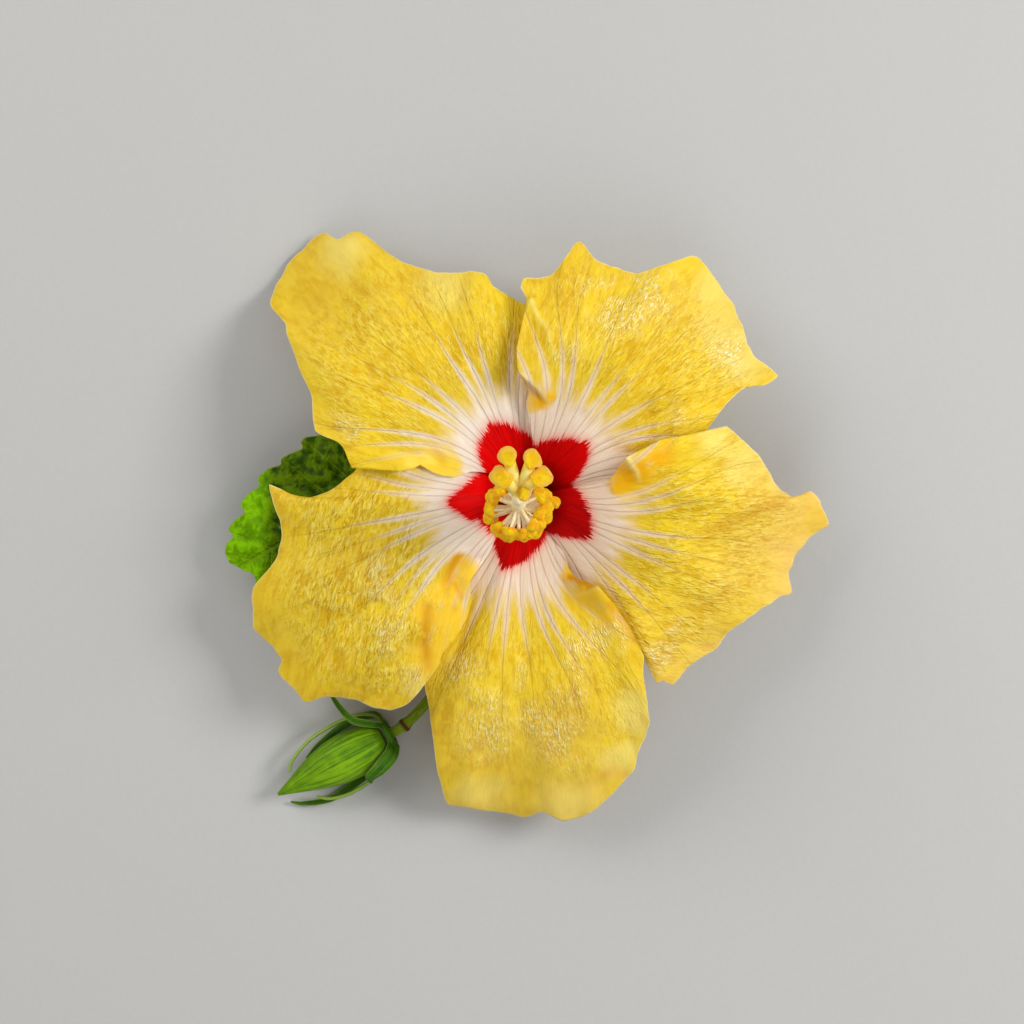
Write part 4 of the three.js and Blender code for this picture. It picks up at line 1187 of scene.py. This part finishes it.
class HIBISCUS_OT_column(bpy.types.Operator):
    """Make the staminal column with its filaments and anthers"""

    bl_idname = "hibiscus.column"
    bl_label = "Staminal column"

    def execute(self, context):
        def crown(angle, d):
            return 1 + 0.12 * np.cos(5 * angle) * smooth(55, 57.5, d)

        tube = bar("column_tube", COLUMN_LINE[:-1] + [TUBE_END], lambda d: line(TUBE_RADII, d),
                   28, 120, crown)
        mark(tube, part=0)
        parts = [tube]
        model = anther_model()
        for root, bend, tip, spin, tilt in stamen_parts():
            stalk = bar("filament", [root, bend, tip], lambda d: 0.46 - 0.02 * d, 6, 8)
            mark(stalk, part=0, along=CREAM_FILAMENT)
            anther = model.copy()
            anther.data = model.data.copy()
            context.collection.objects.link(anther)
            x, y, z = points_of(anther).T
            c, sn = math.cos(spin * 6), math.sin(spin * 6)
            spun = np.column_stack([x * c - y * sn, x * sn + y * c, z]) * (1.32 + 0.35 * tilt)
            turn = Vector((0, 0, 1)).rotation_difference((tip - bend).normalized())
            place(anther, spun @ np.array(turn.to_matrix()).T + np.array(tip))
            mark(anther, part=1, along=CREAM_FILAMENT)
            rounded(anther)
            parts += [stalk, anther]
        bpy.data.objects.remove(model)
        whole = join(parts, "column_with_stamens")
        hand_in(whole, ["staminal_column"], anther_finish())
        return {"FINISHED"}


def stigma_pad(k, end, away):
    """One velvety pad at `end`, flat side up, which grows in the direction `away`."""
    _, size, square, hook, _ = STIGMA[k]
    pad, points = ball(40, 24)
    out = np.array((away.x, away.y, 0)) / math.hypot(away.x, away.y)
    beside = np.cross((0, 0, 1), out)
    a, b, z = points @ out, points @ beside, points[:, 2]
    across = np.hypot(a, b)
    # a peach rim light is painted round the pad's outer side
    lip = smooth(0.5, 0.8, across) * smooth(-0.2, 0.3, z) * smooth(-0.9, 0, a)
    dimple = 0.22 * bell(across, 0.5) * (z > 0)
    bumps = 1 + 0.03 * ripples(points * 2.1, 0.25, k) + 0.07 * ripples(points * 2.1, 1.4, k)
    flare = 1 - 0.42 * smooth(0.2, -1, a) * (1 - square)
    swell = 1 + 0.18 * square * np.sin(2 * np.arctan2(b, a)) ** 2
    points = np.outer(a * size[0] * swell * bumps, out)
    points += np.outer(b * size[1] * flare * swell * bumps, beside)
    points[:, 2] = (z * np.where(z > 0, 0.75, 1) - dimple) * size[2]
    points[:, 1] -= hook * smooth(0.2, 2.2, points[:, 0])
    points[:, 2] -= 0.10 * (points[:, 0] * away.x + points[:, 1] * away.y)
    place(pad, points + np.array(end))
    mark(pad, part=1, lip=lip)
    rounded(pad)
    return pad


class HIBISCUS_OT_pistil(bpy.types.Operator):
    """Make the style, its branches and the stigma pads"""

    bl_idname = "hibiscus.pistil"
    bl_label = "Pistil"

    def execute(self, context):
        style = bar("style", COLUMN_LINE, lambda d: line(STYLE_RADII, d - 0.3), 16, 90)
        mark(style, part=0, lip=0)
        parts = [style]
        fork = Vector(COLUMN_LINE[-1])
        for k, (place_of_pad, *_, thick) in enumerate(STIGMA):
            end = Vector(place_of_pad)
            away = end - fork
            bend = fork + away * 0.5 + Vector((0, 0, 1.3))
            arm = bar("branch", [fork - Vector((0, 0, 0.8)), bend, end],
                      lambda d: line(BRANCH_RADII, d) * thick, 14, 24)
            along = kept(arm, "along")
            mark(arm, part=smooth(0.72, 0.92, along / along.max()), lip=0)
            parts += [arm, stigma_pad(k, end, away)]
        whole = join(parts, "style_and_stigma")
        hand_in(whole, ["pistil"], stigma_finish())
        return {"FINISHED"}


# ---------- calyx, epicalyx, bud ----------
def bract(name, points, across, width):
    """A narrow pointed blade along a smooth line, a little hollow."""
    rows = 40
    centre, length = spline(points, rows + 1)
    ahead = headings(centre)
    across = np.array(across, float)
    side = across - ahead * (ahead @ across)[:, None]
    side /= np.linalg.norm(side, axis=1)[:, None]
    piece, s, t = sheet_grid(name, 10, rows)
    row = np.rint(t * rows).astype(int)
    half = width / 2 * (0.3 + 0.7 * np.sin(math.pi * (0.25 + t * 0.72)))
    half = half * np.where(t > 0.9, np.sqrt(np.maximum(1.05 - t, 0) / 0.15), 1)
    hollow = np.cross(side, ahead)[row] * (0.2 * half * (1 - s * s))[:, None]
    place(piece, centre[row] + side[row] * (half * s)[:, None] + hollow)
    mark(piece, along=t * length, turn=s * 1.5, rim=(1 - abs(s)) * half)
    thicken(piece, BRACT_WALL)
    apply(piece, "BEVEL", width=0.12 * MM, segments=2, limit_method="ANGLE")
    rounded(piece)
    return piece


def calyx_cup():
    """The five-toothed cup that holds the petals' claws, open at its foot."""
    cup, s, t = sheet_grid("calyx_cup", 160, 60)
    bearing = (s + 1) * math.pi
    share = (bearing * 5 / (2 * math.pi)) % 1
    end = CUP_NOTCH + CUP_TOOTH * (1 - abs(2 * share - 1) ** 1.1)
    u = CUP_ROOT + (end - CUP_ROOT) * t
    lift = -(overlap_lift(u) + PETAL_THICKNESS / 2 + GREEN_WALL / 2 + CUP_GAP)
    lift = lift - 0.12 * np.cos(math.pi * 2 * share) * smooth(2, 12, u)
    place(cup, funnel_points(u, bearing + math.radians(CUP_TURN), lift, 0))
    mark(cup, along=u, turn=bearing * 2, rim=end - u)
    outward(cup, capped=False)
    thicken(cup, GREEN_WALL)
    rounded(cup)
    x, y, z = points_of(cup).T / MM
    radius = np.hypot(x - FLOWER_AXIS[0], y - FLOWER_AXIS[1])
    first = np.arange(len(x)) < len(x) // 2
    inner = first if radius[first].sum() < radius[~first].sum() else ~first
    # The cup's inner wall below 24 mm is painted dark red as the shade deep in the flower.
    mark(cup, throat=inner & (z < 24))
    return cup


class HIBISCUS_OT_calyx(bpy.types.Operator):
    """Make the flower's calyx and epicalyx"""

    bl_idname = "hibiscus.calyx"
    bl_label = "Calyx and epicalyx"

    def execute(self, context):
        foot = bar("calyx_floor", [(0, 0, 7.8), (0, 0, 8.2), (0, 0, 8.6)],
                   lambda d: mix(5.4, 6.1, d / 0.8), 60, 4)
        # The floor's top is painted dark red as shade.
        mark(foot, rim=BLUNT, throat=points_of(foot)[:, 2] > 8.4 * MM)
        whole = join([calyx_cup(), foot], "calyx_of_flower")
        green = green_finish("calyx_finish", (86, 120, 20), (138, 168, 48), (190, 200, 120))
        hand_in(whole, ["flower_calyx"], green)

        ring = bar("bract_ring", [(0, 0, 6.4), (0, 0, 7.0), (0, 0, 7.5)],
                   lambda d: line([(0, 6.6), (0.8, 8.1), (1.1, 8.0)], d), 60, 8)
        mark(ring, rim=BLUNT)
        parts = [ring]
        for k in range(BRACTS):
            bearing = math.radians(BRACT_TURN + 360 * k / BRACTS)
            c, sn = math.cos(bearing), math.sin(bearing)
            path = [(r * c, r * sn, z) for r, z in BRACT_PATH]
            parts.append(bract("bract", path, (-sn, c, 0), 2.6))
        whole = join(parts, "epicalyx_of_flower")
        dark = green_finish("bract_finish", (20, 76, 4), (66, 122, 14), (150, 176, 84))
        hand_in(whole, ["flower_epicalyx"], dark)
        return {"FINISHED"}


class HIBISCUS_OT_bud(bpy.types.Operator):
    """Make the bud and its bracts"""

    bl_idname = "hibiscus.bud"
    bl_label = "Bud"

    def execute(self, context):
        def keels(angle, d):
            keel = 0.05 * np.cos(5 * angle + 0.12 * d)
            return 1 + keel + 0.012 * np.cos(15 * angle + 0.3) * smooth(2, 8, d)

        def radius(d):
            return np.maximum(mix(curve(BUD_RADII, d, 1), line(BUD_RADII, d), 0.3), 0.2)

        bud = bar("bud_body", BUD_LINE, radius, 90, 110, keels, floor=0.0)
        mark(bud, rim=28.9 - kept(bud, "along"))
        green = green_finish("bud_finish", (70, 118, 0), (132, 178, 0), (196, 206, 110), 0.5)
        hand_in(bud, ["bud_calyx"], green)

        deselect()
        bpy.ops.mesh.primitive_torus_add(major_radius=3.1, minor_radius=0.75, major_segments=48,
                                         minor_segments=14)
        ring = bpy.context.object
        heading = Vector(BUD_LINE[1]) - Vector(BUD_LINE[0])
        heading.z = 0
        turn = Vector((0, 0, 1)).rotation_difference(heading.normalized()).to_matrix()
        points = points_of(ring) @ np.array(turn).T
        place(ring, points + np.array(BUD_RING))
        mark(ring, along=0, turn=np.arange(len(points)) * 0.05, rim=BLUNT)
        rounded(ring)
        whole = join([ring] + [bract("bud_bract", *row) for row in BUD_BRACTS], "epicalyx_of_bud")
        dark = green_finish("bud_bract_finish", (16, 66, 0), (84, 136, 4), (150, 172, 70))
        hand_in(whole, ["bud_epicalyx"], dark)
        return {"FINISHED"}


# ---------- stem and leaf ----------
def knuckles(d, places, width, rise):
    """Swellings of a bar at these places along it."""
    return sum(rise * bell(d - at, width) for at in places)


class HIBISCUS_OT_stem(bpy.types.Operator):
    """Make the twig and the two flower stalks"""

    bl_idname = "hibiscus.stem"
    bl_label = "Stem"

    def execute(self, context):
        def twig_radius(d):
            taper = mix(1, 0.35, np.clip((d - 50) / 10, 0, 1))
            return 2.2 * taper + knuckles(d, TWIG_KNUCKLES, 1.8, 0.45)

        def flower_stalk_radius(d):
            return 1.3 + knuckles(d, FLOWER_JOINT, 1.1, 0.4) + 0.6 * smooth(13, 18, d)

        def bud_stalk_radius(d):
            return 1.25 + knuckles(d, BUD_JOINT, 1.1, 0.45) + 0.5 * smooth(40, 43, d)

        twig = bar("twig", TWIG_LINE, twig_radius, 40, 160, floor=0.0)
        along = kept(twig, "along")
        mark(twig, woody=1, ring=knuckles(along, TWIG_KNUCKLES, 0.8, 0.5), cut=along < 0.05)
        flower_stalk = bar("flower_stalk", FLOWER_PEDICEL, flower_stalk_radius, 28, 80, floor=0.0)
        along = kept(flower_stalk, "along")
        mark(flower_stalk, woody=smooth(5, 1, along), ring=knuckles(along, FLOWER_JOINT, 0.7, 0.8),
             cut=0)
        bud_stalk = bar("bud_stalk", BUD_PEDICEL, bud_stalk_radius, 28, 140, floor=0.0)
        along = kept(bud_stalk, "along")
        mark(bud_stalk, woody=smooth(6, 1, along), ring=knuckles(along, BUD_JOINT, 0.5, 1.0), cut=0)
        whole = join([twig, flower_stalk, bud_stalk], "twig_and_stalks")
        hand_in(whole, ["stem"], stem_finish(context.scene.green_look))
        return {"FINISHED"}


def leaf_blade():
    """The toothed blade: arched, puffed between its veins and cut in teeth at its edge."""
    base, tip = np.array(LEAF_BASE, float), np.array(LEAF_TIP, float)
    length = math.hypot(*(tip - base)[:2])
    ahead = (tip - base) * (1, 1, 0) / length
    left = np.array((ahead[1], -ahead[0], 0))
    blade, w, q = sheet_grid("leaf_blade", 120, 150)
    last = len(LEAF_LEFT) - 1
    knots = np.arange(last + 1)
    at = q * last
    near = np.abs(w)
    edge_along, edge_out = np.where(w > 0, outline(knots, LEAF_LEFT, at),
                                    outline(knots, LEAF_RIGHT, at))
    along = mix(1 + LEAF_POINT_STEP * at, edge_along, near**1.15)
    out = edge_out * w
    share = np.clip(along / length, 0, 1)
    from_vein = np.min([abs(at - point) for point in LEAF_SIDE_VEINS], axis=0) * LEAF_POINT_STEP
    side_vein = smooth(0.5, 0.12, from_vein) * smooth(0, 0.08, near) * (1 - 0.5 * near)
    vein = np.maximum(smooth(0.75, 0.25, abs(out)), side_vein)
    points = base + np.outer(along, ahead) + np.outer(out, left)
    arch = 3.2 * np.sin(math.pi * share) - 0.012 * out * out
    quilt = 0.9 * smooth(0, 3.2, from_vein) * smooth(0, 3, abs(out)) * (1 - 0.6 * near)
    puff = (0.55 * ripples(points, 3.4) + 0.22 * ripples(points, 1.5, 4)) * smooth(0, 2, abs(out))
    points[:, 2] = mix(base[2], tip[2], share) + arch + quilt - 0.3 + puff
    place(blade, points)
    # The tip beyond x = -60 mm is painted lighter, as lying outside the petals' shadow.
    mark(blade, vein=vein, rim=(1 - near) * abs(edge_out), woody=0,
         fresh=smooth(-60, -64, points[:, 0]))
    thicken(blade, GREEN_WALL)
    rounded(blade)
    return blade


class HIBISCUS_OT_leaf(bpy.types.Operator):
    """Make the toothed leaf and its stalk"""

    bl_idname = "hibiscus.leaf"
    bl_label = "Leaf"

    def execute(self, context):
        stalk = bar("leaf_stalk", PETIOLE, lambda d: mix(1.1, 0.7, np.clip(d / 35, 0, 1)), 20, 80)
        mark(stalk, vein=0, rim=BLUNT, woody=1, fresh=0)
        whole = join([leaf_blade(), stalk], "leaf_and_stalk")
        hand_in(whole, ["leaf"], leaf_finish(context.scene.green_look))
        return {"FINISHED"}


# ---------- stage ----------
class HIBISCUS_OT_stage(bpy.types.Operator):
    """Set out the floor, the lights and the camera"""

    bl_idname = "hibiscus.stage"
    bl_label = "Stage"

    def execute(self, context):
        look = context.scene.stage_look
        deselect()
        bpy.ops.mesh.primitive_plane_add(size=FLOOR_SIZE, location=(0, 0, FLOOR_HEIGHT))
        floor = bpy.context.object
        floor.name = floor.data.name = "floor"
        bpy.ops.object.transform_apply(location=True, rotation=True, scale=True)
        floor.data.materials.append(floor_finish(look))

        for name, (stand, share, size) in LIGHTS.items():
            bpy.ops.object.light_add(type="AREA", location=stand)
            lamp = bpy.context.object
            lamp.name = name
            lamp.data.energy = look.key_power * share
            lamp.data.size = size
            aim = Vector(LIT_POINT) - Vector(stand)
            lamp.rotation_euler = aim.to_track_quat("-Z", "Y").to_euler()

        world = bpy.data.worlds.new("studio")
        context.scene.world = world
        world.use_nodes = True
        sky = world.node_tree.nodes["Background"]
        sky.inputs["Color"].default_value = (1, 1, 1, 1)
        sky.inputs["Strength"].default_value = SKY_STRENGTH
        context.scene.view_settings.view_transform = "Standard"

        x, y = ((axis + shift) * MM for axis, shift in zip(FLOWER_AXIS, CAMERA_SHIFT))
        bpy.ops.object.camera_add(location=(x, y, look.camera_height), rotation=(0, 0, 0))
        camera = bpy.context.object
        camera.name = "camera"
        camera.data.lens = LENS
        camera.data.sensor_width = SENSOR
        camera.data.clip_start = NEAR_CLIP
        context.scene.camera = camera
        return {"FINISHED"}


class HIBISCUS_PT_panel(bpy.types.Panel):
    """Lists the makers of the sprig's pieces"""

    bl_label = "Hibiscus"
    bl_idname = "HIBISCUS_PT_panel"
    bl_space_type = "VIEW_3D"
    bl_region_type = "UI"
    bl_category = "Hibiscus"

    def draw(self, context):
        for operator in MAKERS:
            self.layout.operator(operator.bl_idname)
        for group in (context.scene.petal_look, context.scene.green_look, context.scene.stage_look):
            for name in group.__annotations__:
                self.layout.prop(group, name)


MAKERS = (HIBISCUS_OT_petals, HIBISCUS_OT_column, HIBISCUS_OT_pistil, HIBISCUS_OT_calyx,
          HIBISCUS_OT_bud, HIBISCUS_OT_stem, HIBISCUS_OT_leaf, HIBISCUS_OT_stage)
CLASSES = (PetalLook, GreenLook, StageLook) + MAKERS + (HIBISCUS_PT_panel,)


def register():
    for cls in CLASSES:
        bpy.utils.register_class(cls)
    bpy.types.Scene.petal_look = bpy.props.PointerProperty(type=PetalLook)
    bpy.types.Scene.green_look = bpy.props.PointerProperty(type=GreenLook)
    bpy.types.Scene.stage_look = bpy.props.PointerProperty(type=StageLook)


def unregister():
    del bpy.types.Scene.stage_look
    del bpy.types.Scene.green_look
    del bpy.types.Scene.petal_look
    for cls in reversed(CLASSES):
        bpy.utils.unregister_class(cls)


def main():
    register()
    for maker in MAKERS:
        group, name = maker.bl_idname.split(".")
        getattr(getattr(bpy.ops, group), name)()


if __name__ == "__main__":
    main()
